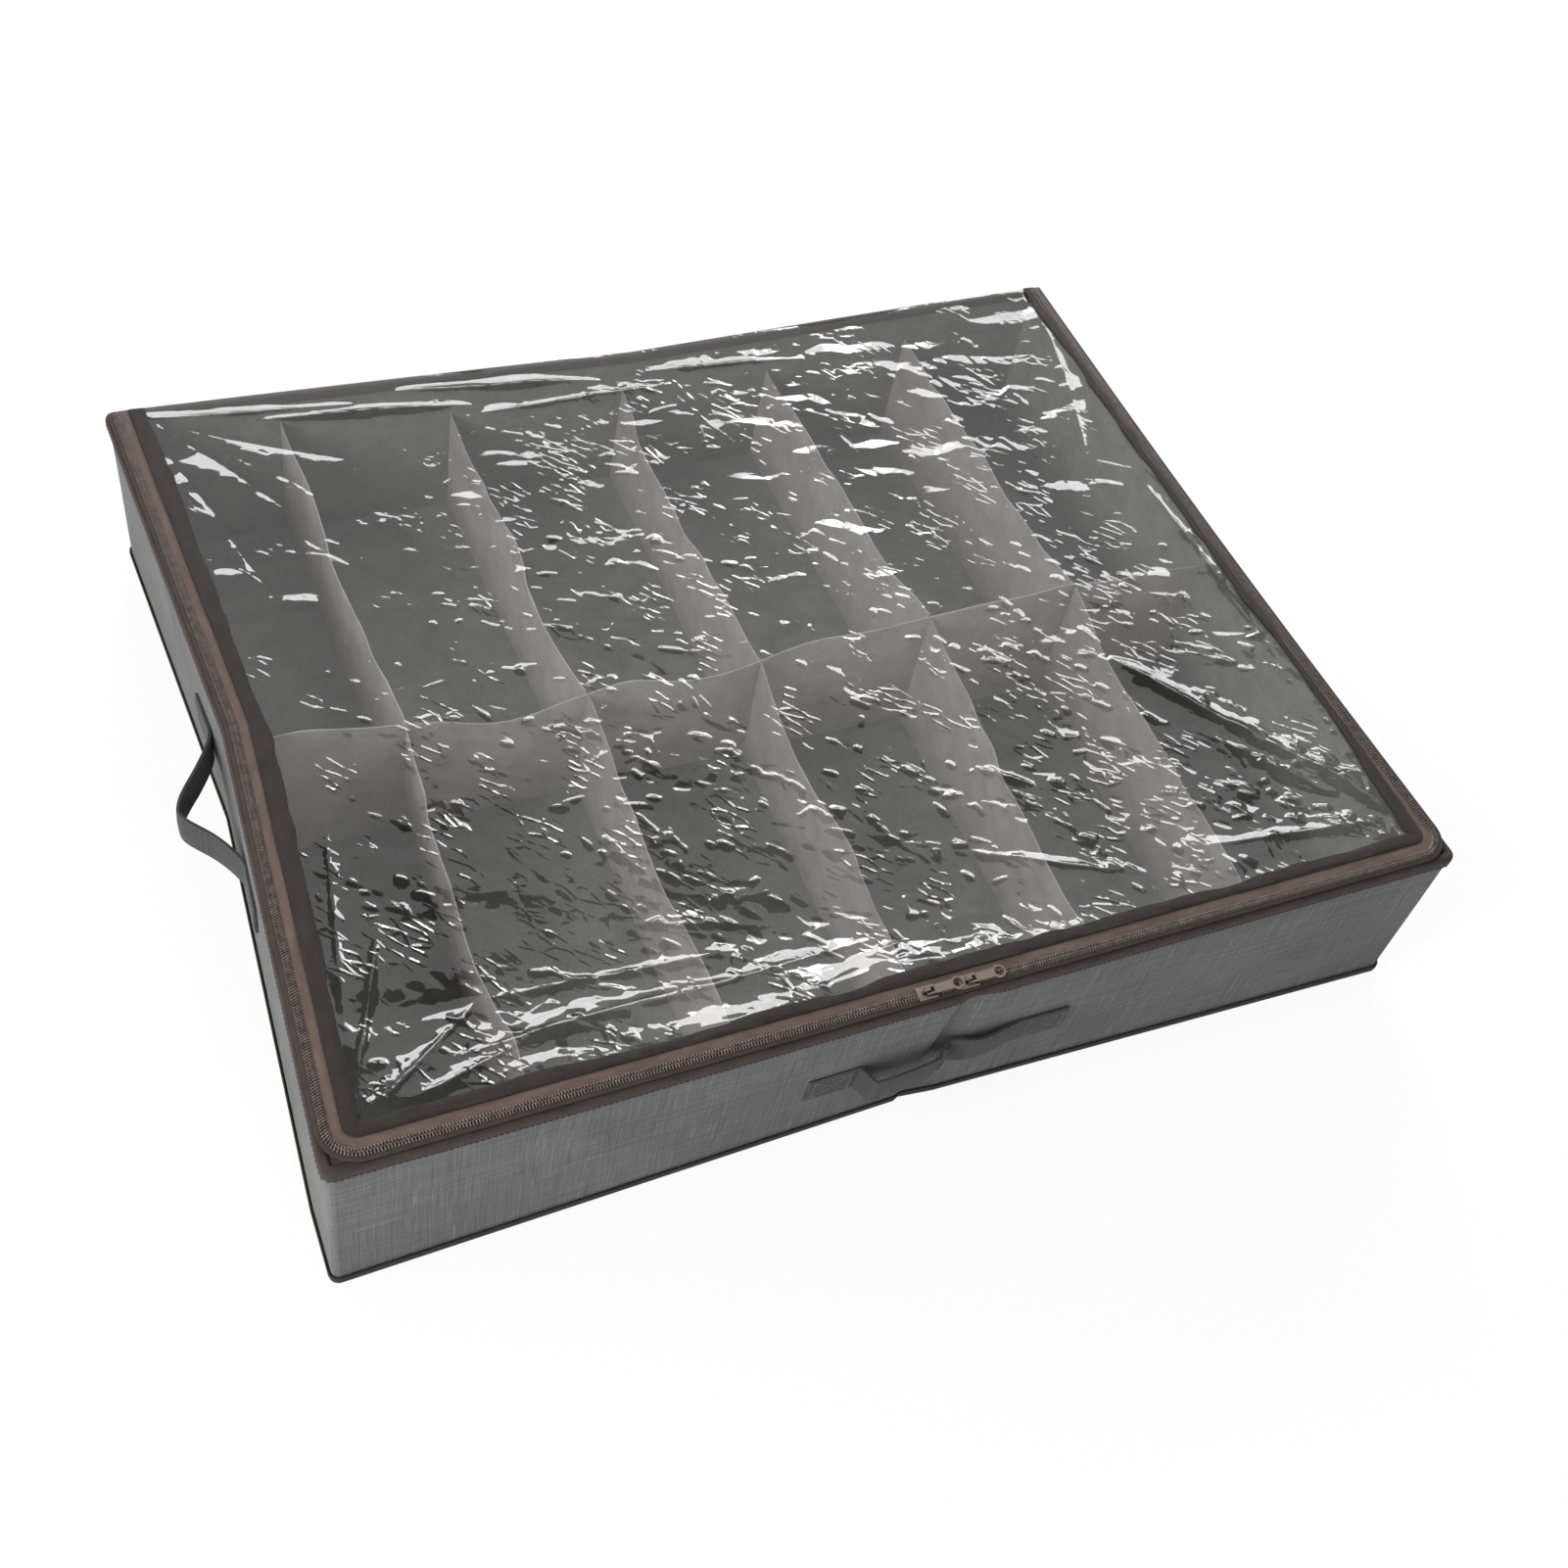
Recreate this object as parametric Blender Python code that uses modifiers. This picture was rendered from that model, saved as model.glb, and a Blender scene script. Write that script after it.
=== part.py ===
"""Under bed box with a clear zip-on lid and cloth dividers. Metres, +Z up, front at -Y.

The origin is the middle of the underside. The walls are fabric over board, the floor is
divided by unwoven cloth, and the lid is a clear film that hinges on the back rim.
"""

import math

import bmesh
import bpy
from mathutils import Matrix, Vector

# Overall size, and the gap kept between sewn or touching pieces
WIDTH = 0.730
DEPTH = 0.600
HEIGHT = 0.135
GAP = 0.0003

# Sheet thicknesses
BINDING = 0.0008
FABRIC = 0.0008
BOARD = 0.0016
LINING = 0.0008
BASE_BOARD = 0.0020
DIVIDER = 0.0010
FILM = 0.0005
TAPE = 0.0006
STRAP = 0.0012

# Layers of a wall, measured inwards from the outer face of the bindings
FABRIC_OUT = BINDING + GAP
FABRIC_IN = FABRIC_OUT + FABRIC
BOARD_OUT = FABRIC_IN + GAP
BOARD_IN = BOARD_OUT + BOARD
LINING_OUT = BOARD_IN + GAP
WALL_IN = LINING_OUT + LINING

# Heights of the walls and the floor
RIM_BELOW_TOP = 0.0025
RIM_TOP = HEIGHT - RIM_BELOW_TOP
WALL_TOP = RIM_TOP - BINDING - GAP
WALL_BOTTOM = BINDING + GAP
BASE_BOARD_TOP = WALL_BOTTOM + BASE_BOARD
FLOOR_TOP = BASE_BOARD_TOP + GAP + LINING
FOLD_WIDTH = 0.004

# Bindings: the leg on the outer face, and the depth over the rim and under the base
BINDING_LEG = 0.009
RIM_DEPTH = WALL_IN + GAP
BASE_BINDING_DEPTH = 0.008

# Zip, measured inwards from the outer face. It stands above the rim on its lower tape,
# so that the sliders run clear of the wall.
CORNER = 0.024
CORNER_STEPS = 8
SHARP_CORNER = 0.001
TAPE_OUT = GAP
ZIP_LINE = 0.0062
ZIP_ABOVE_RIM = 0.0031
COIL_RADIUS = 0.0011
COIL_SHIFT = 0.0016
LOWER_TAPE_IN = ZIP_LINE - COIL_SHIFT - COIL_RADIUS - GAP
UPPER_TAPE_OUT = ZIP_LINE + COIL_SHIFT + COIL_RADIUS + GAP
UPPER_TAPE_IN = 0.0155
FILM_OUT = UPPER_TAPE_IN + GAP
LID_BINDING_OUT = 0.0145
LID_BINDING_IN = 0.0255
ZIP_END = DEPTH / 2 - RIM_DEPTH - GAP
TAPE_Z = RIM_TOP + ZIP_ABOVE_RIM

# Lid film, which comes down to the rim at the back, and the line that the lid turns on
FILM_SAG = 0.009
FILM_BACK_DROP = 0.0024
FILM_BACK_SHARE = 0.08
FILM_STEPS = (18, 26)
LID_BINDING_Z = TAPE_Z + TAPE / 2 + GAP + BINDING / 2
LID_HINGE = Vector((0.0, DEPTH / 2 - RIM_DEPTH + GAP, TAPE_Z))

# Dividers
BAYS = 6
BAY_PITCH = 0.1215
DIVIDER_STEPS = (12, 3)
CENTRE_STEPS = (30, 3)
WALL_END_HEIGHT = 0.098
CROSS_SAG = 0.010
CROSS_SWAY = 0.006
CENTRE_SWAY = 0.004
CENTRE_TOP = (
    (-0.360, 0.122),
    (-0.255, 0.113),
    (-0.185, 0.086),
    (-0.093, 0.113),
    (-0.022, 0.097),
    (0.094, 0.105),
    (0.187, 0.120),
    (0.293, 0.104),
    (0.360, 0.106),
)

# Zip sliders and pulls
SLIDER_X = {"left": -0.0175, "right": 0.0095}
SLIDER_LENGTH = 0.012
SLIDER_HALF_WIDTH = 0.0042
SLIDER_PLATE = 0.0010
SLIDER_CHANNEL = 0.0015
SLIDER_FLANGE = 0.0008
SLIDER_FLANGE_WIDTH = 0.0008
SLIDER_WEB = 0.0002
CROWN_LENGTH = 0.005
CROWN_WIDTH = 0.0018
CROWN_BAR = 0.0009
CROWN_SHOULDER = 0.0014
CROWN_ROOT = 0.0005
PULL_THICKNESS = 0.0012
PULL_BAR = 0.0006
PULL_HINGE_HEIGHT = 0.00095
PULL_HINGE_CLEAR = 0.0003
PULL_SLOT_END = 0.0046
PULL_SLOT_HALF = 0.0016
PULL_HINGE_HALF = 0.0028
PULL_RING_CENTRE = 0.020
PULL_RING_RADIUS = 0.0042
PULL_HOLE_RADIUS = 0.0030
PULL_NECK_ANGLE = math.radians(138)
RING_STEPS = 20
CROWN_STEPS = 8

# Strap handles: webbing on edge, sewn flat at both ends. The routes give the distance
# along the wall and how far the strap stands out from where its ends lie.
STRAP_WIDTH = 0.025
TAB_LENGTH = 0.030
STRAP_MIDDLE_Z = 0.062
STRAP_STEPS = 5
FRONT_HANDLE_CENTRE = 0.007
FRONT_HANDLE_HALF = 0.088
FRONT_ROUTE = (
    (-0.0577, 0.0),
    (-0.054, 0.0012),
    (-0.049, 0.0125),
    (-0.030, 0.0115),
    (-0.006, 0.0075),
    (0.004, 0.0105),
    (0.030, 0.0070),
    (0.052, 0.0008),
    (0.0577, 0.0),
)
SIDE_HANDLE_HALF = 0.088
SIDE_ROUTE = (
    (-0.0577, 0.0),
    (-0.049, 0.0015),
    (-0.027, 0.0095),
    (-0.004, 0.0190),
    (0.008, 0.0200),
    (0.028, 0.0085),
    (0.049, 0.0010),
    (0.0577, 0.0),
)

COLLECTION = "under_bed_box"


def clear_scene():
    for item in list(bpy.data.objects):
        bpy.data.objects.remove(item, do_unlink=True)


def new_collection(name):
    collection = bpy.data.collections.new(name)
    bpy.context.scene.collection.children.link(collection)
    return collection


def material(name, colour, roughness, metallic=0.0, alpha=1.0):
    """A Principled material from an sRGB colour."""
    linear = [(channel / 255) ** 2.2 for channel in colour]
    result = bpy.data.materials.new(name)
    result.use_nodes = True
    shader = result.node_tree.nodes["Principled BSDF"]
    shader.inputs["Base Color"].default_value = (*linear, 1.0)
    shader.inputs["Roughness"].default_value = roughness
    shader.inputs["Metallic"].default_value = metallic
    shader.inputs["Alpha"].default_value = alpha
    return result


def add(name, data, finish, place=None):
    """Put one named piece, with its material, in the object's collection."""
    piece = bpy.data.objects.new(name, data)
    data.materials.append(finish)
    if place is not None:
        piece.matrix_world = place
    bpy.data.collections[COLLECTION].objects.link(piece)
    return piece


def box(name, low, high, finish):
    """A rectangular slab between two corners."""
    middle = (Vector(low) + Vector(high)) / 2
    size = Vector(high) - Vector(low)
    mesh = bpy.data.meshes.new(name)
    work = bmesh.new()
    bmesh.ops.create_cube(work, size=1.0, matrix=Matrix.Translation(middle) @ Matrix.Diagonal((*size, 1.0)))
    work.to_mesh(mesh)
    work.free()
    return add(name, mesh, finish)


def outline_curve(name, loops, thickness):
    """A flat outline with its holes, filled and given its thickness about its own plane."""
    curve = bpy.data.curves.new(name, "CURVE")
    curve.dimensions = "2D"
    curve.fill_mode = "BOTH"
    curve.extrude = thickness / 2
    for loop in loops:
        spline = curve.splines.new("POLY")
        spline.points.add(len(loop) - 1)
        spline.use_cyclic_u = True
        for point, (x, y) in zip(spline.points, loop):
            point.co = (x, y, 0.0, 1.0)
    return curve


def outline(name, loops, thickness, place, finish):
    return add(name, outline_curve(name, loops, thickness), finish, place)


def to_mesh(curve, place):
    """A curve as a closed mesh in a temporary object, ready for a Boolean."""
    source = bpy.data.objects.new(curve.name, curve)
    bpy.context.scene.collection.objects.link(source)
    bpy.context.view_layer.update()
    mesh = bpy.data.meshes.new_from_object(source.evaluated_get(bpy.context.evaluated_depsgraph_get()))
    bpy.data.objects.remove(source, do_unlink=True)
    work = bmesh.new()
    work.from_mesh(mesh)
    bmesh.ops.remove_doubles(work, verts=work.verts, dist=1e-7)
    work.transform(place)
    bmesh.ops.recalc_face_normals(work, faces=work.faces)
    work.to_mesh(mesh)
    work.free()
    return mesh


def unite(piece, mesh, collection):
    """Join a second mesh to a piece with a Boolean; the mesh stays as a hidden tool."""
    tool = bpy.data.objects.new(f"{piece.name}_tool", mesh)
    tool.matrix_world = piece.matrix_world
    tool.hide_render = True
    tool.display_type = "WIRE"
    collection.objects.link(tool)
    join = piece.modifiers.new("join", "BOOLEAN")
    join.operation = "UNION"
    join.solver = "EXACT"
    join.object = tool


def arc(centre, radius, start, end, steps):
    """Points on a circular arc, both ends included."""
    angles = [start + (end - start) * i / steps for i in range(steps + 1)]
    return [(centre[0] + radius * math.cos(a), centre[1] + radius * math.sin(a)) for a in angles]


def smooth_height(points, x):
    """Height at x on an easy curve through hand-placed points."""
    for (x0, z0), (x1, z1) in zip(points, points[1:]):
        if x <= x1:
            share = max(0.0, (x - x0) / (x1 - x0))
            return z0 + (z1 - z0) * (1 - math.cos(math.pi * share)) / 2
    return points[-1][1]


def smooth_route(points, steps):
    """A Catmull-Rom curve through the route's points."""
    ends = [points[0], *points, points[-1]]
    route = []
    for a, b, c, d in zip(ends, ends[1:], ends[2:], ends[3:]):
        a, b, c, d = (Vector(p) for p in (a, b, c, d))
        for i in range(steps):
            t = i / steps
            route.append(b + (c - a) * t / 2 + (a - 2.5 * b + 2 * c - d / 2) * t * t
                         + (1.5 * (b - c) + (d - a) / 2) * t * t * t)
    route.append(Vector(points[-1]))
    return route


def side_frames():
    """For each wall: the turn that carries the front wall's place to it, and its half length and offset."""
    return {
        "front": (0.0, WIDTH / 2, DEPTH / 2),
        "back": (math.pi, WIDTH / 2, DEPTH / 2),
        "left": (-math.pi / 2, DEPTH / 2, WIDTH / 2),
        "right": (math.pi / 2, DEPTH / 2, WIDTH / 2),
    }


def wall_matrix(side):
    """Frame on a wall: x along it, y inwards from its outer face, z up from the floor."""
    turn, _, offset = side_frames()[side]
    return Matrix.Rotation(turn, 4, "Z") @ Matrix.Translation((0, -offset, 0))


def wall_slab(name, side, out, into, span, finish):
    """One flat layer of a wall, between two depths and over a span along the wall."""
    low = wall_matrix(side) @ Vector((span[0], out, WALL_BOTTOM))
    high = wall_matrix(side) @ Vector((span[1], into, WALL_TOP))
    corners = [sorted(pair) for pair in zip(low, high)]
    return box(name, [pair[0] for pair in corners], [pair[1] for pair in corners], finish)


def layer_half(side, out, into):
    """Half the length of a wall's layer: front and back run past the sides."""
    _, half, _ = side_frames()[side]
    return half - out if side in ("front", "back") else half - into - GAP


def make_walls(fabric, board, lining):
    for side in side_frames():
        half = layer_half(side, FABRIC_OUT, FABRIC_IN)
        wall_slab(side + "_panel", side, FABRIC_OUT, FABRIC_IN, (-half, half), fabric)
        half = layer_half(side, LINING_OUT, WALL_IN)
        wall_slab(side + "_lining", side, LINING_OUT, WALL_IN, (-half, half), lining)
        half = layer_half(side, BOARD_OUT, BOARD_IN)
        spans = {"": (-half, half)}
        if side == "front":
            spans = {"_left": (-half, -FOLD_WIDTH / 2), "_right": (FOLD_WIDTH / 2, half)}
        if side == "back":
            spans = {"_right": (-half, -FOLD_WIDTH / 2), "_left": (FOLD_WIDTH / 2, half)}
        for end, span in spans.items():
            wall_slab(side + "_board" + end, side, BOARD_OUT, BOARD_IN, span, board)


def make_base(fabric, board, lining):
    x = WIDTH / 2 - BASE_BINDING_DEPTH - GAP
    y = DEPTH / 2 - BASE_BINDING_DEPTH - GAP
    box("base_panel", (-x, -y, 0), (x, y, FABRIC), fabric)
    x = WIDTH / 2 - WALL_IN - GAP
    y = DEPTH / 2 - WALL_IN - GAP
    half_fold = FOLD_WIDTH / 2
    box("base_board_left", (-x, -y, WALL_BOTTOM), (-half_fold, y, BASE_BOARD_TOP), board)
    box("base_board_right", (half_fold, -y, WALL_BOTTOM), (x, y, BASE_BOARD_TOP), board)
    box("base_lining", (-x, -y, BASE_BOARD_TOP + GAP), (x, y, FLOOR_TOP), lining)


def make_edge_binding(name, side, profile, depth, finish):
    """A folded strip along a wall's edge, from its profile of depth and height."""
    _, half, _ = side_frames()[side]
    if side in ("left", "right"):
        half -= depth + GAP
    along = Matrix(((0, 0, 1, 0), (1, 0, 0, 0), (0, 1, 0, 0), (0, 0, 0, 1)))
    outline(name, [profile], 2 * half, wall_matrix(side) @ along, finish)


def make_bindings(rim_finish, base_finish):
    rim = [
        (0, RIM_TOP),
        (0, RIM_TOP - BINDING_LEG),
        (BINDING, RIM_TOP - BINDING_LEG),
        (BINDING, RIM_TOP - BINDING),
        (RIM_DEPTH, RIM_TOP - BINDING),
        (RIM_DEPTH, RIM_TOP),
    ]
    base = [
        (0, 0),
        (BASE_BINDING_DEPTH, 0),
        (BASE_BINDING_DEPTH, BINDING),
        (BINDING, BINDING),
        (BINDING, BINDING_LEG),
        (0, BINDING_LEG),
    ]
    for side in side_frames():
        make_edge_binding("rim_binding_" + side, side, rim, RIM_DEPTH, rim_finish)
        make_edge_binding("base_binding_" + side, side, base, BASE_BINDING_DEPTH, base_finish)


def zip_route(offset):
    """Left, front and right of the rim at one distance in from the outer face, with round corners."""
    radius = max(CORNER - offset, SHARP_CORNER)
    x = WIDTH / 2 - offset - radius
    y = DEPTH / 2 - offset - radius
    left = arc((-x, -y), radius, math.pi, 1.5 * math.pi, CORNER_STEPS)
    right = arc((x, -y), radius, 1.5 * math.pi, 2 * math.pi, CORNER_STEPS)
    return [(-x - radius, ZIP_END), *left, *right, (x + radius, ZIP_END)]


def zip_band(name, out, into, z, thickness, finish):
    """A flat band that runs along the zip between two distances from the outer face."""
    loop = zip_route(out) + zip_route(into)[::-1]
    return outline(name, [loop], thickness, Matrix.Translation((0, 0, z)), finish)


def lower_tape(collection, finish):
    """The zip's lower tape: a flat band beside the coil, with its outer edge turned down to the rim."""
    flat = zip_route(TAPE_OUT) + zip_route(LOWER_TAPE_IN)[::-1]
    flat = to_mesh(outline_curve("tape_flat", [flat], TAPE), Matrix.Translation((0, 0, TAPE_Z)))
    low = RIM_TOP + GAP
    edge = zip_route(TAPE_OUT) + zip_route(TAPE_OUT + TAPE)[::-1]
    edge = to_mesh(outline_curve("tape_edge", [edge], TAPE_Z - low), Matrix.Translation((0, 0, (TAPE_Z + low) / 2)))
    unite(add("lower_zip_tape", flat, finish), edge, collection)


def zip_coil(name, offset, finish):
    """One row of the zip's coil, as a plain round bar."""
    curve = bpy.data.curves.new(name, "CURVE")
    curve.dimensions = "3D"
    curve.bevel_depth = COIL_RADIUS
    curve.bevel_resolution = 2
    curve.use_fill_caps = True
    route = zip_route(offset)
    spline = curve.splines.new("POLY")
    spline.points.add(len(route) - 1)
    for point, (x, y) in zip(spline.points, route):
        point.co = (x, y, TAPE_Z, 1.0)
    return add(name, curve, finish)


def sheet(name, steps, shape, thickness, finish):
    """A thin sheet: a grid over the unit square, laid out by a function and given its thickness."""
    mesh = bpy.data.meshes.new(name)
    work = bmesh.new()
    bmesh.ops.create_grid(work, x_segments=steps[0], y_segments=steps[1], size=1.0)
    for vertex in work.verts:
        vertex.co = shape((vertex.co.x + 1) / 2, (vertex.co.y + 1) / 2)
    bmesh.ops.recalc_face_normals(work, faces=work.faces)
    work.to_mesh(mesh)
    work.free()
    piece = add(name, mesh, finish)
    solid = piece.modifiers.new("thickness", "SOLIDIFY")
    solid.thickness = thickness
    solid.offset = 0.0
    return piece


def film_point(u, v):
    """The lid film: slack in the middle, round at its front corners, and down to the rim at the back."""
    half = WIDTH / 2 - FILM_OUT
    front = -DEPTH / 2 + FILM_OUT
    x = half * (2 * u - 1)
    y = front + (ZIP_END - front) * v
    slack = (4 * u * (1 - u) * 4 * v * (1 - v)) ** 1.5
    corner = Vector((abs(x) - (WIDTH / 2 - CORNER), -y - (DEPTH / 2 - CORNER)))
    if corner.x > 0 and corner.y > 0:
        corner = corner.normalized() * (CORNER - FILM_OUT)
        x = math.copysign(WIDTH / 2 - CORNER + corner.x, x)
        y = -(DEPTH / 2 - CORNER) - corner.y
    drop = max(0.0, 1 - (1 - v) / FILM_BACK_SHARE)
    return Vector((x, y, TAPE_Z - FILM_SAG * slack - FILM_BACK_DROP * drop))


def hang_on(pieces, name, place):
    """Parent pieces to an empty on their joint's axis."""
    axis = bpy.data.objects.new(name, None)
    axis.location = place
    bpy.data.collections[COLLECTION].objects.link(axis)
    for piece in pieces:
        piece.parent = axis
        piece.matrix_parent_inverse = Matrix.Translation(place).inverted()


def make_zip_and_lid(tools, tape, coil, film, binding):
    lower_tape(tools, tape)
    zip_coil("lower_zip_coil", ZIP_LINE - COIL_SHIFT, coil)
    lid = [
        zip_coil("upper_zip_coil", ZIP_LINE + COIL_SHIFT, coil),
        zip_band("upper_zip_tape", UPPER_TAPE_OUT, UPPER_TAPE_IN, TAPE_Z, TAPE, tape),
        zip_band("lid_binding", LID_BINDING_OUT, LID_BINDING_IN, LID_BINDING_Z, BINDING, binding),
        sheet("lid_film", FILM_STEPS, film_point, FILM, film),
    ]
    hang_on(lid, "lid_axis", LID_HINGE)


def centre_point(u, v):
    """The long divider: its top rises and dips, and it bows between the cross dividers."""
    half = WIDTH / 2 - WALL_IN - GAP
    x = half * (2 * u - 1)
    low = FLOOR_TOP + GAP
    z = low + (smooth_height(CENTRE_TOP, x) - low) * v
    return Vector((x, CENTRE_SWAY * v * v * math.sin(math.pi * x / BAY_PITCH), z))


def cross_shape(side, x, lean):
    """Shape of a cross divider from the long divider to the front or back wall."""
    near = DIVIDER / 2 + GAP
    far = DEPTH / 2 - WALL_IN - GAP
    low = FLOOR_TOP + GAP

    def shape(u, v):
        y = side * (near + (far - near) * u)
        top = smooth_height(CENTRE_TOP, x) * (1 - u) + WALL_END_HEIGHT * u
        top -= CROSS_SAG * math.sin(math.pi * u)
        sway = lean * CROSS_SWAY * v * v * math.sin(2 * math.pi * u)
        return Vector((x + sway, y, low + (top - low) * v))

    return shape


def make_dividers(finish):
    sheet("centre_divider", CENTRE_STEPS, centre_point, DIVIDER, finish)
    for number in range(1, BAYS):
        x = BAY_PITCH * (number - BAYS / 2)
        lean = (-1) ** number
        for row, side in (("rear", 1), ("front", -1)):
            name = f"{row}_divider_{number}"
            sheet(name, DIVIDER_STEPS, cross_shape(side, x, lean * side), DIVIDER, finish)


def slider_profile():
    """End view of a slider: two plates with lips that hold the tapes, joined by a web."""
    half = SLIDER_HALF_WIDTH
    lip = half - SLIDER_FLANGE_WIDTH
    top = SLIDER_CHANNEL + SLIDER_PLATE
    quarter = [
        (SLIDER_WEB, SLIDER_CHANNEL),
        (lip, SLIDER_CHANNEL),
        (lip, SLIDER_FLANGE),
        (half, SLIDER_FLANGE),
        (half, top),
    ]
    right = [(y, -z) for y, z in quarter[::-1]] + quarter
    return right + [(-y, -z) for y, z in right]


def crown_profile():
    """Side view of the bridge that holds the pull: an arch with its legs sunk in the top plate."""
    half = CROWN_LENGTH / 2
    inner = half - CROWN_BAR
    rise = PULL_HINGE_HEIGHT + PULL_BAR + PULL_HINGE_CLEAR
    bend = (half - CROWN_SHOULDER, rise + CROWN_BAR - CROWN_SHOULDER)
    outer_top = arc(bend, CROWN_SHOULDER, 0, math.pi / 2, CROWN_STEPS)
    right = [(inner, -CROWN_ROOT), (half, -CROWN_ROOT), *outer_top]
    left = [(-x, z) for x, z in right[::-1]]
    return right + left + [(-inner, rise), (inner, rise)]


def make_slider(side, collection, finish):
    place = Matrix.Translation((SLIDER_X[side], -DEPTH / 2 + ZIP_LINE, TAPE_Z))
    along = Matrix(((0, 0, 1, 0), (1, 0, 0, 0), (0, 1, 0, 0), (0, 0, 0, 1)))
    body = to_mesh(outline_curve("slider_body", [slider_profile()], SLIDER_LENGTH), along)
    upright = Matrix(((1, 0, 0, 0), (0, 0, -1, 0), (0, 1, 0, SLIDER_CHANNEL + SLIDER_PLATE), (0, 0, 0, 1)))
    crown = to_mesh(outline_curve("slider_crown", [crown_profile()], CROWN_WIDTH), upright)
    unite(add("slider_" + side, body, finish, place), crown, collection)


def pull_outline():
    """A zip pull from above: hinge end with its slot at the origin, round ring at the far end."""
    ring = arc((PULL_RING_CENTRE, 0), PULL_RING_RADIUS, -PULL_NECK_ANGLE, PULL_NECK_ANGLE, RING_STEPS)
    outer = [(-PULL_BAR, -PULL_HINGE_HALF), *ring, (-PULL_BAR, PULL_HINGE_HALF)]
    slot = [
        (PULL_BAR, -PULL_SLOT_HALF),
        (PULL_SLOT_END, -PULL_SLOT_HALF),
        (PULL_SLOT_END, PULL_SLOT_HALF),
        (PULL_BAR, PULL_SLOT_HALF),
    ]
    hole = arc((PULL_RING_CENTRE, 0), PULL_HOLE_RADIUS, 0, 2 * math.pi, RING_STEPS)[:-1]
    return [outer, slot, hole]


def make_sliders(tools, finish):
    hinge_z = TAPE_Z + SLIDER_CHANNEL + SLIDER_PLATE + PULL_HINGE_HEIGHT
    for side, x in SLIDER_X.items():
        make_slider(side, tools, finish)
        place = Matrix.Translation((x, -DEPTH / 2 + ZIP_LINE, hinge_z))
        outline("pull_" + side, pull_outline(), PULL_THICKNESS, place, finish)


def strap_loop(route):
    """Outline, from above, of a strap of even thickness along its route; it bulges to -y."""
    middle = [Vector((s, -out)) for s, out in smooth_route(route, STRAP_STEPS)]
    edges = ([], [])
    for i, point in enumerate(middle):
        run = (middle[min(i + 1, len(middle) - 1)] - middle[max(i - 1, 0)]).normalized()
        across = Vector((-run.y, run.x)) * STRAP / 2
        edges[0].append(tuple(point + across))
        edges[1].append(tuple(point - across))
    return edges[0] + edges[1][::-1]


def make_handle(side, centre, half, route, ends, strap, tab):
    """A strap handle: two flat sewn ends, and the loop between them, hung on its upper edge."""
    middle_depth = FABRIC_OUT - GAP - STRAP / 2
    place = wall_matrix(side) @ Matrix.Translation((centre, middle_depth, STRAP_MIDDLE_Z))
    loop = outline(side + "_handle", [strap_loop(route)], STRAP_WIDTH, place, strap)
    hang_on([loop], side + "_handle_axis", place @ Vector((0, 0, STRAP_WIDTH / 2)))
    inner = half - TAB_LENGTH
    for end, low, high in ((ends[0], -half, -inner), (ends[1], inner, half)):
        corners = [(low, -STRAP / 2), (high, -STRAP / 2), (high, STRAP / 2), (low, STRAP / 2)]
        outline(f"{side}_handle_tab_{end}", [corners], STRAP_WIDTH, place, tab)


def make_handles(strap, tab):
    make_handle("front", FRONT_HANDLE_CENTRE, FRONT_HANDLE_HALF, FRONT_ROUTE, ("left", "right"), strap, tab)
    make_handle("left", 0.0, SIDE_HANDLE_HALF, SIDE_ROUTE, ("back", "front"), strap, tab)
    mirrored = [(-s, out) for s, out in SIDE_ROUTE[::-1]]
    make_handle("right", 0.0, SIDE_HANDLE_HALF, mirrored, ("front", "back"), strap, tab)


def main():
    clear_scene()
    new_collection(COLLECTION)
    tools = new_collection("cutters")
    fabric = material("linen_fabric", (132, 132, 132), 0.9)
    board = material("board", (150, 126, 96), 0.95)
    lining = material("lining", (112, 112, 111), 0.95)
    cloth = material("divider_cloth", (146, 144, 139), 0.95, alpha=0.9)
    rim_binding = material("rim_binding", (104, 90, 83), 0.85)
    dark_binding = material("dark_binding", (62, 52, 47), 0.85)
    tape = material("zip_tape", (112, 96, 86), 0.85)
    coil = material("zip_coil", (118, 104, 97), 0.4)
    film = material("clear_film", (235, 236, 236), 0.06, alpha=0.2)
    metal = material("painted_metal", (132, 118, 108), 0.45, metallic=0.3)
    strap = material("strap", (98, 98, 98), 0.9)
    make_base(fabric, board, lining)
    make_walls(fabric, board, lining)
    make_bindings(rim_binding, dark_binding)
    make_dividers(cloth)
    make_zip_and_lid(tools, tape, coil, film, dark_binding)
    make_sliders(tools, metal)
    make_handles(strap, strap)


main()
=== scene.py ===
"""Looks of the under bed box: cloth, bindings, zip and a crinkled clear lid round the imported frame.

Metres, +Z up, front at -Y. Every cloth piece is laid out flat to the frame and then put through
warp(), which gives the box the stance it has in use, so layers that touch stay together.
"""

import math

import bmesh
import bpy
import numpy as np
from mathutils import Matrix, Vector


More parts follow.
